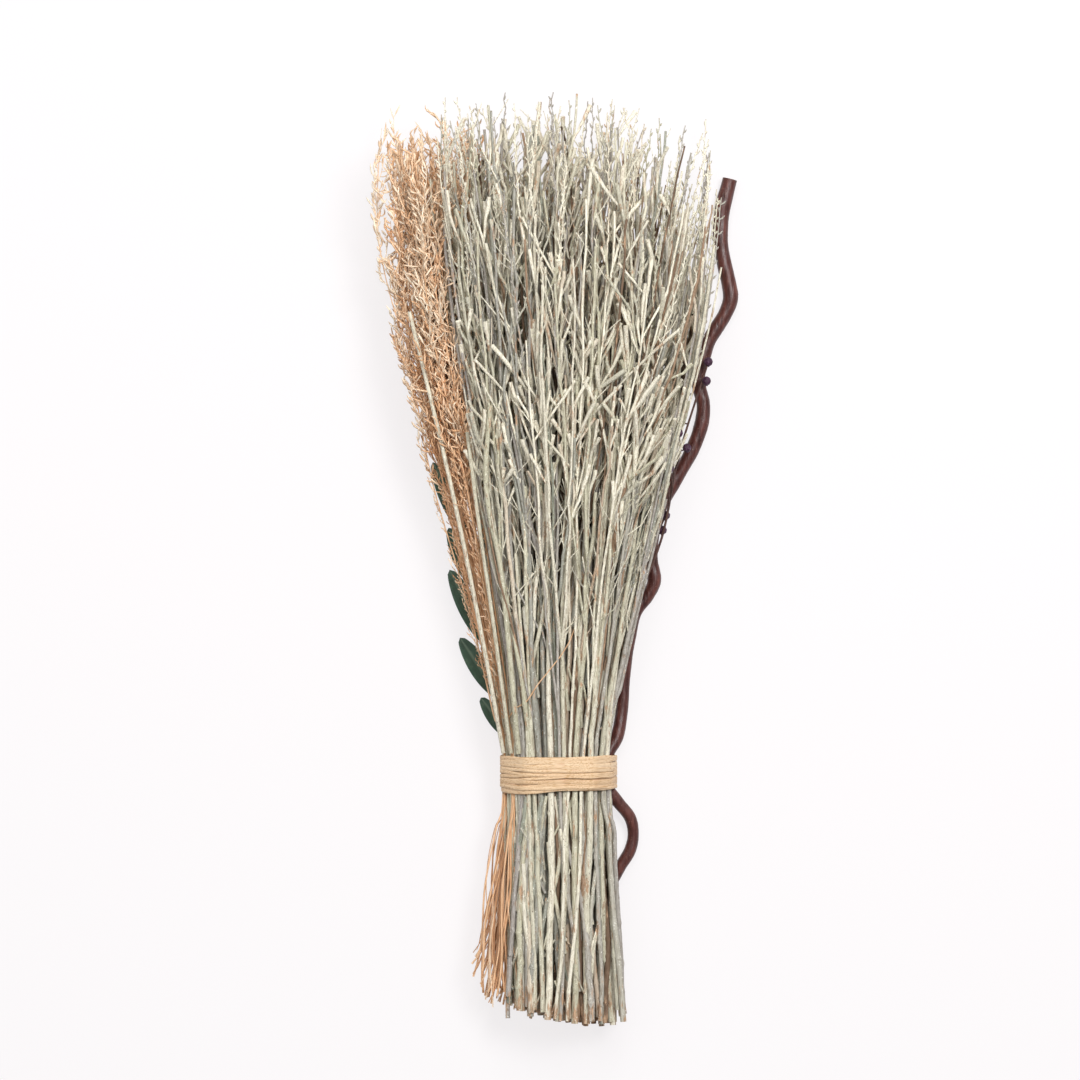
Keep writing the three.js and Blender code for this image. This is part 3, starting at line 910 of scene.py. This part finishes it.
def grow_lane_twig(lane, name):
    """The twig that stands for a CAD twig, on the same route."""
    strands = Strands()
    tip = lane_tip(lane)
    butt = butt_level(lane.across(0), lane.seed)
    girth = pick(0.72, 1.0)

    def size_at(y):
        slimmed = girth * (1 - 0.34 * smoothstep(y, TIE_CENTRE, 300))
        return slimmed * lerp(TWIG_RADIUS, TWIG_TIP_RADIUS, (y - butt) / (tip - butt))

    grasses, twigs, _ = ROWS[lane.row]
    outer = lane.row in (0, len(ROWS) - 1) or lane.place in (grasses, grasses + twigs - 1)
    # Inner lanes may take tones 0.9 and 0.94, dark brown painted shade for stems inside the bundle.
    tones = (0.05, 0.14, 0.22, 0.3, 0.4, 0.5, 0.62, 0.74) if outer else (0.1, 0.14, 0.4, 0.9, 0.94)
    twig = Twig(strands, some_tone(*tones))
    y = np.linspace(butt, tip, 80)
    line, size = twig.draw(stem_points(lane, size_at(y), y), size_at(y), 10, raw_start=True)
    twig.fork(line, size, 3)
    twig.stubs(line, size, 10)
    twig.twiglets(line, size, 14)
    twig.wisps(line, size, 2)
    for fork in range(2):
        points, radii = fork_like_cad(lane, tip, fork, size_at)
        branch, branch_size = twig.draw(points, radii, 8)
        twig.stubs(branch, branch_size, 5)
        twig.twiglets(branch, branch_size, 6)
    strands.piece(f"{name}_wood", TWIG_MATERIALS, "whitewashed_twig", name)


class Filler:
    """A thinner stem at a free place in the tied section, carried along by the rows."""

    def __init__(self, x, z, radius, depth):
        self.radius = radius
        self.depth = depth
        self.row = (z - float(row_height(0, TIE_CENTRE))) / ROW_PITCH["tie"]
        self.near_row = int(min(max(round(self.row), 0), len(ROWS) - 1))
        grasses = ROWS[self.near_row][0]
        beyond = x - float(row_left(self.near_row, TIE_CENTRE)) - grasses * GRASS_LANE["tie"]
        self.place = grasses + beyond / (TWIG_LANE if beyond > 0 else GRASS_LANE)["tie"]
        self.seed = rng.uniform(1000, 2000)
        outward = 14 if x > 12 else 0
        self.drift = {"butt": pick(-11, 11), "fan": pick(-13, 13) + outward}
        self.lift = {"butt": pick(-4, 4), "fan": pick(-7, 7)}

    def points(self, y):
        y = np.asarray(y, float)
        above, below = above_tie(y), below_tie(y)
        loose = 0.3 + 2.5 * (above + below)
        x = place_across(self.near_row, self.place, y)
        x = x + self.drift["fan"] * above + self.drift["butt"] * below
        z = row_height(self.row, y) + self.lift["fan"] * above + self.lift["butt"] * below
        return xyz(x + loose * wave(self.seed, y), y, z + loose * wave(self.seed + 9, y))


def depth_inside(outline, x, z):
    """How far a place lies inside a convex outline; negative when it is outside."""
    return float(np.min(np.sum((np.array([x, z]) - outline) * inward_normals(outline), axis=1)))


def find_fillers(count):
    """Free places in the tied section for the thinner stems, thickest first."""
    outline = tie_outline(0.2)
    level = len(TIE_CIRCLES) // 5
    taken = [tuple(circle) for circle in TIE_CIRCLES[2 * level : 3 * level]]
    low, high = outline.min(axis=0), outline.max(axis=0)
    found = []
    tries = 12000
    for attempt in range(tries):
        radius = lerp(1.9, 0.95, attempt / tries)
        x, z = pick(low[0], high[0]), pick(low[1], high[1])
        depth = depth_inside(outline, x, z)
        room = 0.55 if depth < 5 else -0.3
        reach = radius + room
        if depth < radius or any(math.hypot(x - a, z - b) < reach + c for a, b, c in taken):
            continue
        taken.append((x, z, radius))
        found.append(Filler(x, z, radius, depth))
        if len(found) == count:
            break
    return found


def grow_filler(strands, filler):
    tone = some_tone(0.03, 0.1, 0.16, 0.26, 0.36, 0.47, 0.6, 0.7)
    # Three in five fillers deep in the tie take tones 0.88 to 0.95: dark brown painted shade for stems
    # inside the bundle.
    if filler.depth > 5.5:
        tone = some_tone(0.05, 0.14, 0.88, 0.92, 0.95)
    twig = Twig(strands, tone)
    butt = butt_level(float(filler.points(0)[0]), filler.seed) + pick(0, 5)
    tip = dome_level(float(filler.points(FAN_LEVEL)[0])) - pick(30, 210)
    y = np.linspace(butt, tip, 60)
    shares = (1.12, 1.0, 0.74, pick(0.5, 0.7))
    radii = filler.radius * np.interp(y, (butt, TIE_CENTRE, 300, max(tip, 310)), shares)
    line, size = twig.draw(filler.points(y), radii, 8, 6.5, raw_start=True)
    twig.fork(line, size, 2)
    twig.stubs(line, size, 8)
    twig.twiglets(line, size, 9)
    if rng.random() < 0.6:
        twig.wisps(line, size, 1)


def grow_fillers():
    fillers = find_fillers(THIN_TWIGS_WANTED)
    for number, first in enumerate(range(0, len(fillers), THIN_TWIGS_PER_PIECE), 1):
        strands = Strands()
        for filler in fillers[first : first + THIN_TWIGS_PER_PIECE]:
            grow_filler(strands, filler)
        strands.piece(f"thin_twigs_{number:02d}", TWIG_MATERIALS, "whitewashed_twig")


def grow_loose_sticks():
    """Side shoots that lie across the stems below the tie and just above it."""
    strands = Strands()
    for number in range(LOOSE_STICKS):
        below = number < STICKS_BELOW_TIE
        y = pick(6, 120) if below else pick(186, 340)
        x = float(pick(row_left(4, y) + 4, row_right(4, y) - 2))
        thick = rng.random() < 0.5
        angle = rng.choice([-1, 1]) * math.radians(pick(3, 13) if thick else pick(10, 32))
        length = pick(45, 120) if thick else pick(10, 40)
        if below:
            length = min(length, TIE_CENTRE - TIE_HEIGHT / 2 - 3 - y)
        s = np.linspace(0, length, 12)
        levels = y + np.cos(angle) * s
        middle = x + np.sin(angle) * s + 0.8 * np.sin(s / pick(7, 14) + pick(0, 6))
        z = np.array([surface_height(a, b) for a, b in zip(middle, levels)])
        z = smoothed(z, 2) - TWIG_RADIUS
        sunk = 1.5 * smoothstep(levels, TIE_CENTRE - 50, TIE_CENTRE - 14)
        z += pick(-0.4, 1.8) - 3 * (1 - s / length) - sunk
        sizes = (pick(1.2, 1.9), pick(1.0, 1.5)) if thick else (pick(0.7, 1.1), 0.6)
        radii = np.linspace(*sizes, 12)
        line = keep_together(xyz(middle, levels, z), radii)
        tone = some_tone(0.06, 0.2, 0.35, 0.5, 0.66)
        strands.strand(line, radii, 8, tone, twist=pick(0, 3), lumps=0.04)
    strands.piece("loose_sticks", TWIG_MATERIALS, "whitewashed_twig")


def tie_top(x):
    """Height of the tied stems' upper side at x, inside the tie."""
    hull = tie_outline(-0.3)
    upper = hull[hull[:, 1] > hull[:, 1].mean()]
    upper = upper[np.argsort(upper[:, 0])]
    return float(np.interp(x, upper[:, 0], upper[:, 1]))


def grow_left_stems():
    """Pale stems that lie over the grasses at the left of the waist and below it."""
    strands = Strands()
    for x in (-33.5, -31.0, -28.3, -25.6, -23.0, -20.4, -17.5, -14.5):
        radius = pick(1.3, 1.9)
        butt = butt_level(x, x * x) + pick(0, 4)
        tip = pick(300, 440)
        y = np.linspace(butt, tip, 80)
        above, below = above_tie(y), below_tie(y)
        across = x + pick(2, 8) * below + (0.85 * x - pick(0, 6)) * above
        across = across + 0.5 * wave(pick(1, 500), y)
        rise = row_height(4, y) - float(row_height(4, TIE_CENTRE))
        line = xyz(across, y, tie_top(x) - radius - 0.4 + rise + 2 * below)
        radii = np.linspace(radius * 1.1, radius * 0.7, len(y))
        twig = Twig(strands, some_tone(0.1, 0.3, 0.45, 0.6))
        twig.draw(line, radii, 9, kink=0.6, raw_start=True, keep=through_tie)
    strands.piece("left_stems", TWIG_MATERIALS, "whitewashed_twig")


# X at the foot, X at the tie and the row that each lies in.
RIGHT_STEMS = [(44.5, 35, 3.3), (42.5, 34, 2.4), (43, 33, 4.1), (40.5, 31, 3.8), (45, 34, 2.0)]


def grow_right_stems():
    """Stems that splay out to the right below the tie."""
    strands = Strands()
    for foot_x, top_x, row in RIGHT_STEMS:
        butt = pick(3, 16)
        y = np.linspace(butt, TIE_CENTRE + 8, 40)
        share = (y - butt) / (y[-1] - butt)
        x = lerp(foot_x, top_x, share**0.8) + 0.7 * wave(pick(1, 500), y)
        radii = np.linspace(pick(1.5, 2.0), 1.3, len(y))
        twig = Twig(strands, some_tone(0.14, 0.3, 0.5))
        line = xyz(x, y, row_height(row, y))
        twig.draw(line, radii, 9, kink=0.6, raw_start=True, keep=through_tie)
    strands.piece("right_stems", TWIG_MATERIALS, "whitewashed_twig")


TENDRIL_ROUTE = [
    (-33, 198), (-26, 207), (-19, 212), (-12, 222.5), (-4, 232.5), (3, 241.5), (9, 251.5), (13, 262),
]


def grow_tendril():
    """A thin dry tendril that crosses over the stems above the tie."""
    strands = Strands()
    points = smooth_route([(x, y, surface_height(x, y)) for x, y in TENDRIL_ROUTE], 60)
    points[:, 2] = smoothed(points[:, 2], 8) + 1.5 - 5 * smoothstep(np.linspace(0, 1, 60), 0.8, 1)
    radii = np.linspace(0.5, 0.34, 60)
    strands.strand(points, radii, 7, 0.35, lumps=0.05)
    strands.piece("tendril", ["dried_grass"], "dried_grass")


# Route, the row that it lies in, radius and tone.
LONG_STEMS = [
    ([(-34, 178), (-47, 250), (-64, 335), (-80, 405), (-94, 462)], 4.3, 1.4, 0.56),
    ([(-24, 178), (-36, 300), (-43, 335), (-45, 360), (-42, 402)], 5.4, 1.75, 0.45),
    ([(-29, 178), (-40, 260), (-50, 330), (-57, 385)], 4.9, 1.3, 0.5),
]


def grow_long_stems():
    """Pale stems that lie over the grasses at the left."""
    strands = Strands()
    for route, row, radius, tone in LONG_STEMS:
        line = smooth_route([(x, y, float(row_height(row, y))) for x, y in route], 60)
        line[:, 2] -= 5 * (1 - smoothstep(line[:, 1], 178, 215))
        radii = np.linspace(radius, radius * 0.9, 60)
        strands.strand(line, radii, 10, tone, lumps=0.03)
    strands.piece("long_stems", TWIG_MATERIALS, "whitewashed_twig")


# -------------------------------- the grasses
def keep_left_edge(line, radii):
    """Presses husks that stick out too far at the left back towards the band."""
    line = line.copy()
    edge = row_left(WIDEST_ROW, line[:, 1]) - 2 + 15 * smoothstep(line[:, 1], 545, 590)
    line[:, 0] = pressed(line[:, 0], edge, 0.45, -1)
    return on_surface(line, radii)


def grow_husks(strands, line, tone, spacing, length, width):
    """Small curved husks on all sides of a branchlet."""
    along = walked(line)
    ahead = unit(line[-1] - line[0])
    for place in np.arange(pick(0.5, 3), along[-1] + 1, spacing):
        root = resampled(line, along, np.array([place]))[0]
        turned = unit(ahead + np.array([pick(-0.7, 0.7), 0, pick(-0.7, 0.7)]))
        husk = branch_line(root, turned, pick(0, FULL_TURN), math.radians(pick(15, 62)),
                           length * pick(0.7, 1.3), pick(0.1, 1.2), 5)
        radii = width * pick(0.8, 1.2) * np.array([0.4, 0.85, 1.0, 0.85, 0.2])
        husk = keep_left_edge(husk, radii)
        strands.strand(husk, radii, 4, tone + pick(-0.25, 0.2), 0.75, pick(0, 3), ends=False)


def grow_plume_stalk(strands, path_at, butt, tip, husks_from, outward):
    """One grass stalk: bare below, then sparse whiskers, then a dense head of husks."""
    y = np.linspace(butt, tip, 80)
    line = path_at(y)
    radii = np.linspace(pick(0.5, 0.8), 0.3, len(y))
    tone = pick(0.25, 0.7)
    line = through_tie(line, radii)
    strands.strand(on_surface(line, radii), radii, 6, 0.55 * tone, twist=pick(0, 3), raw_start=True)
    level = pick(190, 230)
    while level < tip - 2:
        i = min(max(int(np.searchsorted(y, level)), 1), len(y) - 1)
        dense = level > husks_from
        reach = pick(13, 30) if dense else pick(4, 12)
        around = pick(0, FULL_TURN) if dense or not outward else math.pi + pick(-1.2, 1.2)
        branchlet = branch_line(line[i], unit(line[i] - line[i - 1]), around,
                                math.radians(pick(12, 40)), reach, pick(0.1, 0.7), 6)
        thin = np.linspace(0.3, 0.16, 6)
        paler = 0.3 * float(smoothstep(level, 330, 480))
        branch_tone = min(0.9, tone + pick(-0.1, 0.3) + paler - 0.22)
        branchlet = keep_left_edge(branchlet, thin)
        strands.strand(branchlet, thin, 4, branch_tone, ends=False)
        if dense:
            grow_husks(strands, branchlet, branch_tone, 3.1, 6.8, 0.72)
            level += pick(5, 9)
        else:
            grow_husks(strands, branchlet, branch_tone, 2.6, 3.2, 0.36)
            level += pick(4, 9) if outward else pick(25, 60)


def grow_grass(lane, name):
    """The feathery stalks that stand for one CAD grass plume."""
    strands = Strands()
    tip = lane_tip(lane)
    outward = lane.place == 0
    for stalk in range(STALKS_PER_PLUME):
        u, v = pick(-0.42, 0.42), pick(-0.4, 0.4)
        splay = pick(-9, 6)
        seed = pick(1, 500)

        def path_at(y):
            free = smoothstep(y, TIE_CENTRE, FAN_LEVEL)
            below = below_tie(y)
            x = lane.across(y) + u * spread(lane.size, y) + splay * below + 3 * free * wave(seed, y)
            x = x + 3 * below * wave(seed + 3, 2.2 * y)
            return xyz(x, y, lane.up(y) + v * spread(ROW_PITCH, y) + 2 * free * wave(seed + 5, y))

        butt = butt_level(float(lane.across(0)), lane.seed + stalk) + pick(-2, 14)
        head = pick(325, 365) if outward else pick(370, 410)
        grow_plume_stalk(strands, path_at, butt, tip - pick(20, 62), head, outward)
    strands.piece(f"{name}_stalks", ["dried_grass", "cut_wood"], "dried_grass", name)


def grow_under_stalks():
    """Bare stalks under the grass band, between the tie and the feathery heads."""
    strands = Strands()
    for _ in range(UNDER_STALKS):
        tip = pick(300, 385)
        top_x = pick(-33, -24)
        inset = pick(2, 26)
        y = np.linspace(TIE_CENTRE - 8, tip, 40)
        share = smoothstep(y, TIE_CENTRE, TIE_CENTRE + 110)
        x = lerp(top_x, row_left(WIDEST_ROW, y) + inset * share, share)
        x = x + 1.2 * share * wave(pick(1, 500), 1.5 * y)
        z = row_height(lerp(pick(1.5, 3), pick(0.5, 2.8), share), y)
        radii = np.linspace(pick(0.5, 0.9), 0.4, len(y))
        line = on_surface(through_tie(xyz(x, y, z), radii), radii)
        strands.strand(line, radii, 6, pick(0, 0.35), 0.7, pick(0, 3))
    strands.piece("under_stalks", ["dried_grass"], "dried_grass")


def grow_loose_stalks():
    """Thin golden stalks that splay out below the tie at the left."""
    strands = Strands()
    for number in range(LOOSE_STALKS):
        blade = number < FLAT_BLADES
        top_x = pick(-33, -20)
        foot_x = pick(-52, -26)
        foot = butt_level(foot_x, pick(1, 99)) + pick(-5, 30)
        bow = pick(-7, 7)
        y = np.linspace(foot, TIE_CENTRE - 8, 26)
        share = (y - foot) / (y[-1] - foot)
        x = lerp(foot_x, top_x, share**0.7) + bow * np.sin(math.pi * share)
        x = x + 3.4 * (1 - share) * wave(pick(1, 500), 2 * y)
        level = pick(1.0, 4.3)
        z = row_height(level, y) - 9 * smoothstep(share, 0.35, 0.8)
        radii = np.linspace(pick(0.35, 0.8), 0.35, len(y))
        if blade:
            radii = radii + 1.0 * np.sin(math.pi * share) ** 0.6
        line = on_surface(through_tie(xyz(x, y, z), radii), radii)
        strands.strand(line, radii, 6, pick(0.0, 0.75), 0.3 if blade else 0.7, pick(0, 3))
    strands.piece("loose_stalks", ["dried_grass"], "dried_grass")


# -------------------------------- vine, berries and leaves
def grow_vine():
    strands = Strands()
    count = 340
    line = vine_line(count)
    share = np.linspace(0, 1, count)
    radii = lerp(0.9 * VINE_RADIUS, VINE_TOP_RADIUS, share)
    swell = 0.03 * np.sin(share * 61) + 0.02 * np.sin(share * 143 + 1)
    strands.strand(line, radii * (1 + swell), 26, 0.5, lumps=0.008)
    strands.piece("curly_vine_bark", ["vine_bark", "vine_wood"], "vine_bark", "curly_vine")


def berry_points(middle):
    """A slightly shrivelled berry, as rings from its stalk end to its crown."""
    rings, sides = 15, 22
    polar = np.linspace(0.02, math.pi - 0.02, rings)[:, None]
    turn = np.arange(sides)[None] / sides * FULL_TURN
    phase = pick(0, 6)
    ribs = 0.05 * np.sin(5 * turn + phase) * np.sin(polar) ** 2
    dent = 1 + ribs + 0.03 * np.sin(9 * polar + 3 * turn + phase)
    size = BERRY_RADIUS * pick(1.0, 1.12) * dent
    across = size * np.sin(polar)
    return xyz(across * np.cos(turn), size * np.cos(polar), across * np.sin(turn)) + middle


def add_berry(strands, middle):
    strands.add_rings(berry_points(middle)[:, ::-1], 0.5)
    crown = middle + np.array([0, -BERRY_RADIUS * 0.95, 0])
    for petal in range(5):
        turn = FULL_TURN * petal / 5
        out = np.array([math.cos(turn), 0, math.sin(turn)])
        tip = np.stack([crown, crown + 0.5 * out + (0, -0.3, 0), crown + 0.9 * out + (0, -0.8, 0)])
        strands.strand(tip, [0.35, 0.3, 0.08], 5, 0.3, flat=0.6, ends=False)


def grow_sprig(sprig, name):
    stems, berries = Strands(), Strands()
    line = sprig_line(sprig, 120)
    radii = np.linspace(SPRIG_RADIUS, 0.7 * SPRIG_RADIUS, len(line))
    stems.strand(line, radii, 9, 0.5, lumps=0.03)
    for along, side, distance in sprig["berries"]:
        root = line[int(along * (len(line) - 1))]
        middle = root + np.array([side * distance, 2, 0.5])
        stalk = np.stack([root, lerp(root, middle, 0.5) + (0, -0.4, 0.3), middle])
        stems.strand(stalk, [0.55, 0.45, 0.5], 6, 0.5, ends=False)
        add_berry(berries, middle)
    add_berry(berries, line[-1])
    for middle in sprig["cluster"]:
        middle = np.array(middle, float)
        root = line[int(np.argmin(np.abs(line[:, 1] - middle[1] + 22)))]
        stalk = smooth_route([root, lerp(root, middle, 0.6) + (2, -2, 2), middle], 14)
        stems.strand(stalk, np.linspace(0.6, 0.4, 14), 6, 0.5, ends=False)
        add_berry(berries, middle)
    stems.piece(f"{name}_stems", ["sprig_bark", "cut_wood"], "berry", name)
    berries.piece(f"{name}_berries", ["berry_skin"], "berry", name)


def grow_leaf(index):
    """A folded and arched leaf with a midrib, closed by an underside."""
    start, length, turn, height = LEAVES[index]
    rows, columns = 28, 9
    root = leaf_stem_points(start) - np.array([LEAF_STEM_RADIUS + GAP + PETIOLE_WIDTH / 2, 0, 0])
    half = LEAF_WIDTH / 2 * min(1, length / 45)
    s = np.linspace(0, 1, rows)[:, None]
    w = np.linspace(-1, 1, columns)[None]
    bulge = np.clip(np.sin(math.pi * np.clip((s - 0.1) / 0.9, 0, 1) ** 0.9), 0, 1) ** 0.6
    outline = PETIOLE_WIDTH / 2 + (half - PETIOLE_WIDTH / 2) * bulge
    outline = np.where(s > 0.97, outline * (1 - s) / 0.03, outline)
    x = w * outline
    y = s * length
    fold = 0.9 * np.abs(w) ** 1.3 * outline / half
    arch = 1.6 * np.sin(math.pi * s) + 0.35 * np.sin(9 * s + index) * np.abs(w)
    z = height + 0.3 + fold + arch * (0.4 if height < 2 else 0.8)
    angle = math.radians(turn)
    top = xyz(x * math.cos(angle) - y * math.sin(angle) + root[0],
              x * math.sin(angle) + y * math.cos(angle) + root[1], z)
    bottom = top - np.array([0, 0, 0.45])
    veins = np.exp(-((w / 0.09) ** 2)) + 0 * s
    tones = np.clip(0.15 + 0.55 * veins, 0, 1)
    grid = np.arange(rows * columns).reshape(rows, columns)
    a, b, c, d = grid[:-1, :-1], grid[:-1, 1:], grid[1:, 1:], grid[1:, :-1]
    upper = np.stack([a, b, c, d], -1).reshape(-1, 4)
    lower = upper[:, ::-1] + rows * columns
    rim = np.concatenate([grid[0], grid[1:, -1], grid[-1, -2::-1], grid[-2:0:-1, 0]])
    after = np.roll(rim, -1)
    sides = np.stack([rim, rim + rows * columns, after + rows * columns, after], -1)
    points = np.vstack([top.reshape(-1, 3), bottom.reshape(-1, 3)])
    tone = np.concatenate([tones.ravel(), tones.ravel() * 0 + 0.5])
    name = f"leaf_{index + 1}"
    make_piece(f"{name}_blade", points, [upper, lower, sides], [], [], tone, ["leaf_skin"], "leaf",
               name)


def grow_leaf_stem():
    strands = Strands()
    y = np.linspace(LEAF_STEM_START, LEAF_STEM_END, 90)
    radii = np.linspace(LEAF_STEM_RADIUS, 0.6 * LEAF_STEM_RADIUS, len(y))
    strands.strand(leaf_stem_points(y), radii, 9, 0.5, lumps=0.03)
    strands.piece("leaf_stem_bark", ["sprig_bark", "cut_wood"], "leaf_stem_bark", "leaf_stem")


# -------------------------------- raffia tie
def tie_loop(distance):
    """The tied section's outline at a distance, rounded, in equal steps from its highest point."""
    outline = tie_outline(distance)
    start = int(np.argmax(outline[:, 1]))
    outline = np.roll(outline, -start, axis=0)
    closed = np.vstack([outline, outline[:1]])
    along = walked(closed)
    wanted = np.linspace(0, along[-1], 260)
    loop = np.stack([np.interp(wanted, along, closed[:, axis]) for axis in range(2)], -1)[:-1]
    reach = 6
    loop = sum(np.roll(loop, shift, axis=0) for shift in range(-reach, reach + 1)) / (2 * reach + 1)
    return np.vstack([loop, loop[:1]])


def ripple(share, waves):
    return np.sin(FULL_TURN * (waves * share + pick(0, 1)))


def wind_raffia():
    """Flat strands wound around the waist in two overlapping layers, over a backing of wide ones."""
    strands = Strands()
    loop = tie_loop(TIE_SLACK + 0.25)
    for share in (-0.36, -0.12, 0.12, 0.36):
        line = xyz(loop[:, 0], TIE_CENTRE + share * TIE_HEIGHT, loop[:, 1])
        flat_band(strands, line, np.full(len(loop), 3.0), 0.2, 0.1)
    for turn in range(RAFFIA_TURNS):
        upper = turn % 2
        loop = tie_loop(TIE_SLACK + 0.6 + 0.75 * upper)
        share = np.linspace(0, 1, len(loop))
        base = lerp(-0.44, 0.44, (turn + pick(-0.3, 0.3)) / (RAFFIA_TURNS - 1)) * TIE_HEIGHT
        y = TIE_CENTRE + base + pick(-1.6, 1.6) * ripple(share, 1)
        y += 0.4 * ripple(share, 3) + 0.15 * ripple(share, 9)
        if turn < 4:
            y -= pick(0.5, 2.2) * np.exp(-(((loop[:, 0] + 20) / 9) ** 2)) * (loop[:, 1] > loop[:, 1].mean())
        y = np.clip(y, TIE_CENTRE - TIE_HEIGHT / 2 - 1.5, TIE_CENTRE + TIE_HEIGHT / 2)
        width = pick(0.9, 1.6) * (1 + 0.2 * ripple(share, 2))
        line = xyz(loop[:, 0], y, loop[:, 1])
        flat_band(strands, line, width, pick(0.34, 0.46), pick(0.1, 1.0))
    piece = strands.piece("raffia_strands", ["raffia"], "raffia", "raffia_tie")
    points = np.vstack(strands.points)
    x, y, z = (points - points.mean(axis=0)).T / 1000
    typical_radius = 0.035
    wrap = xyz(np.arctan2(x, z) * typical_radius, y, np.hypot(x, z))
    attribute = piece.data.attributes.new("wrap", "FLOAT_VECTOR", "POINT")
    attribute.data.foreach_set("vector", wrap.astype(np.float32).ravel())


def flat_band(strands, line, width, thickness, tone):
    """A flat strand that runs around the bundle with its width along Y."""
    ahead = np.gradient(line, axis=0)
    out = np.stack([ahead[:, 2], 0 * ahead[:, 1], -ahead[:, 0]], -1)
    out /= np.linalg.norm(out, axis=1, keepdims=True)
    out *= np.sign(np.sum(out * (line - line.mean(axis=0)), axis=1))[:, None]
    angles = np.arange(10) / 10 * FULL_TURN
    rings = line[:, None] + (np.cos(angles) * width[:, None])[..., None] * np.array([0, 1.0, 0])
    rings = rings + (np.sin(angles) * thickness)[None, :, None] * out[:, None]
    strands.add_rings(rings, tone)


# -------------------------------- camera and lighting
# What the camera looks straight down at, in the bundle's frame, in mm.
VIEW_MIDDLE = (-10.3, 315.95)


def place_camera():
    camera = bpy.data.objects.new("camera", bpy.data.cameras.new("camera"))
    bpy.context.scene.collection.objects.link(camera)
    camera.data.lens = 150
    camera.data.sensor_width = 36
    frame_width = 0.697
    middle_height = 0.045
    distance = frame_width / 2 / (camera.data.sensor_width / 2 / camera.data.lens)
    across, along = (SHIFT[:2] + VIEW_MIDDLE) / 1000
    camera.location = (across, along, middle_height + distance)
    camera.data.clip_start = 0.1
    camera.data.clip_end = 20
    bpy.context.scene.camera = camera


def area_light(name, location, size, power):
    """A square light that faces the middle of the object."""
    light = bpy.data.objects.new(name, bpy.data.lights.new(name, "AREA"))
    light.data.size = size
    light.data.energy = power
    light.location = location
    light.rotation_euler = (-Vector(location)).to_track_quat("-Z", "Y").to_euler()
    bpy.context.scene.collection.objects.link(light)


def light_studio():
    world = bpy.data.worlds.new("studio")
    world.use_nodes = True
    background = world.node_tree.nodes["Background"].inputs
    background["Color"].default_value = (1, 0.985, 0.99, 1)
    background["Strength"].default_value = 0.3
    bpy.context.scene.world = world
    area_light("key_right", (0.75, 0.65, 1.9), 0.7, 30.5)
    area_light("fill_left", (-1.0, 0.4, 1.7), 1.1, 8)
    area_light("top_fill", (0.0, 1.1, 1.3), 0.8, 11.5)


def make_floor():
    mesh = bpy.data.meshes.new("floor")
    half = 6.0
    corners = [(-half, -half, 0), (half, -half, 0), (half, half, 0), (-half, half, 0)]
    mesh.from_pydata(corners, [], [(0, 1, 2, 3)])
    floor = bpy.data.objects.new("floor", mesh)
    bpy.context.scene.collection.objects.link(floor)
    n = Nodes("floor", 0.9, 0.1)
    n.shader.inputs["Base Color"].default_value = (0.17, 0.167, 0.169, 1)
    n.shader.inputs["Emission Color"].default_value = (1, 0.975, 0.983, 1)
    n.shader.inputs["Emission Strength"].default_value = 0.785
    mesh.materials.append(n.material)


# -------------------------------- assembly
place_camera()
light_studio()
make_floor()
bpy.context.scene.view_settings.view_transform = "Standard"

for index, lane in enumerate(TWIG_LANES):
    grow_lane_twig(lane, f"twig_{index + 1:02d}")
grow_fillers()
grow_loose_sticks()
grow_left_stems()
grow_right_stems()
grow_tendril()
grow_long_stems()
grow_loose_stalks()
grow_under_stalks()
for index, lane in enumerate(GRASS_LANES):
    grow_grass(lane, f"grass_plume_{index + 1}")
grow_vine()
for index, sprig in enumerate(SPRIGS):
    grow_sprig(sprig, f"berry_sprig_{index + 1}")
grow_leaf_stem()
for index in range(len(LEAVES)):
    grow_leaf(index)
wind_raffia()
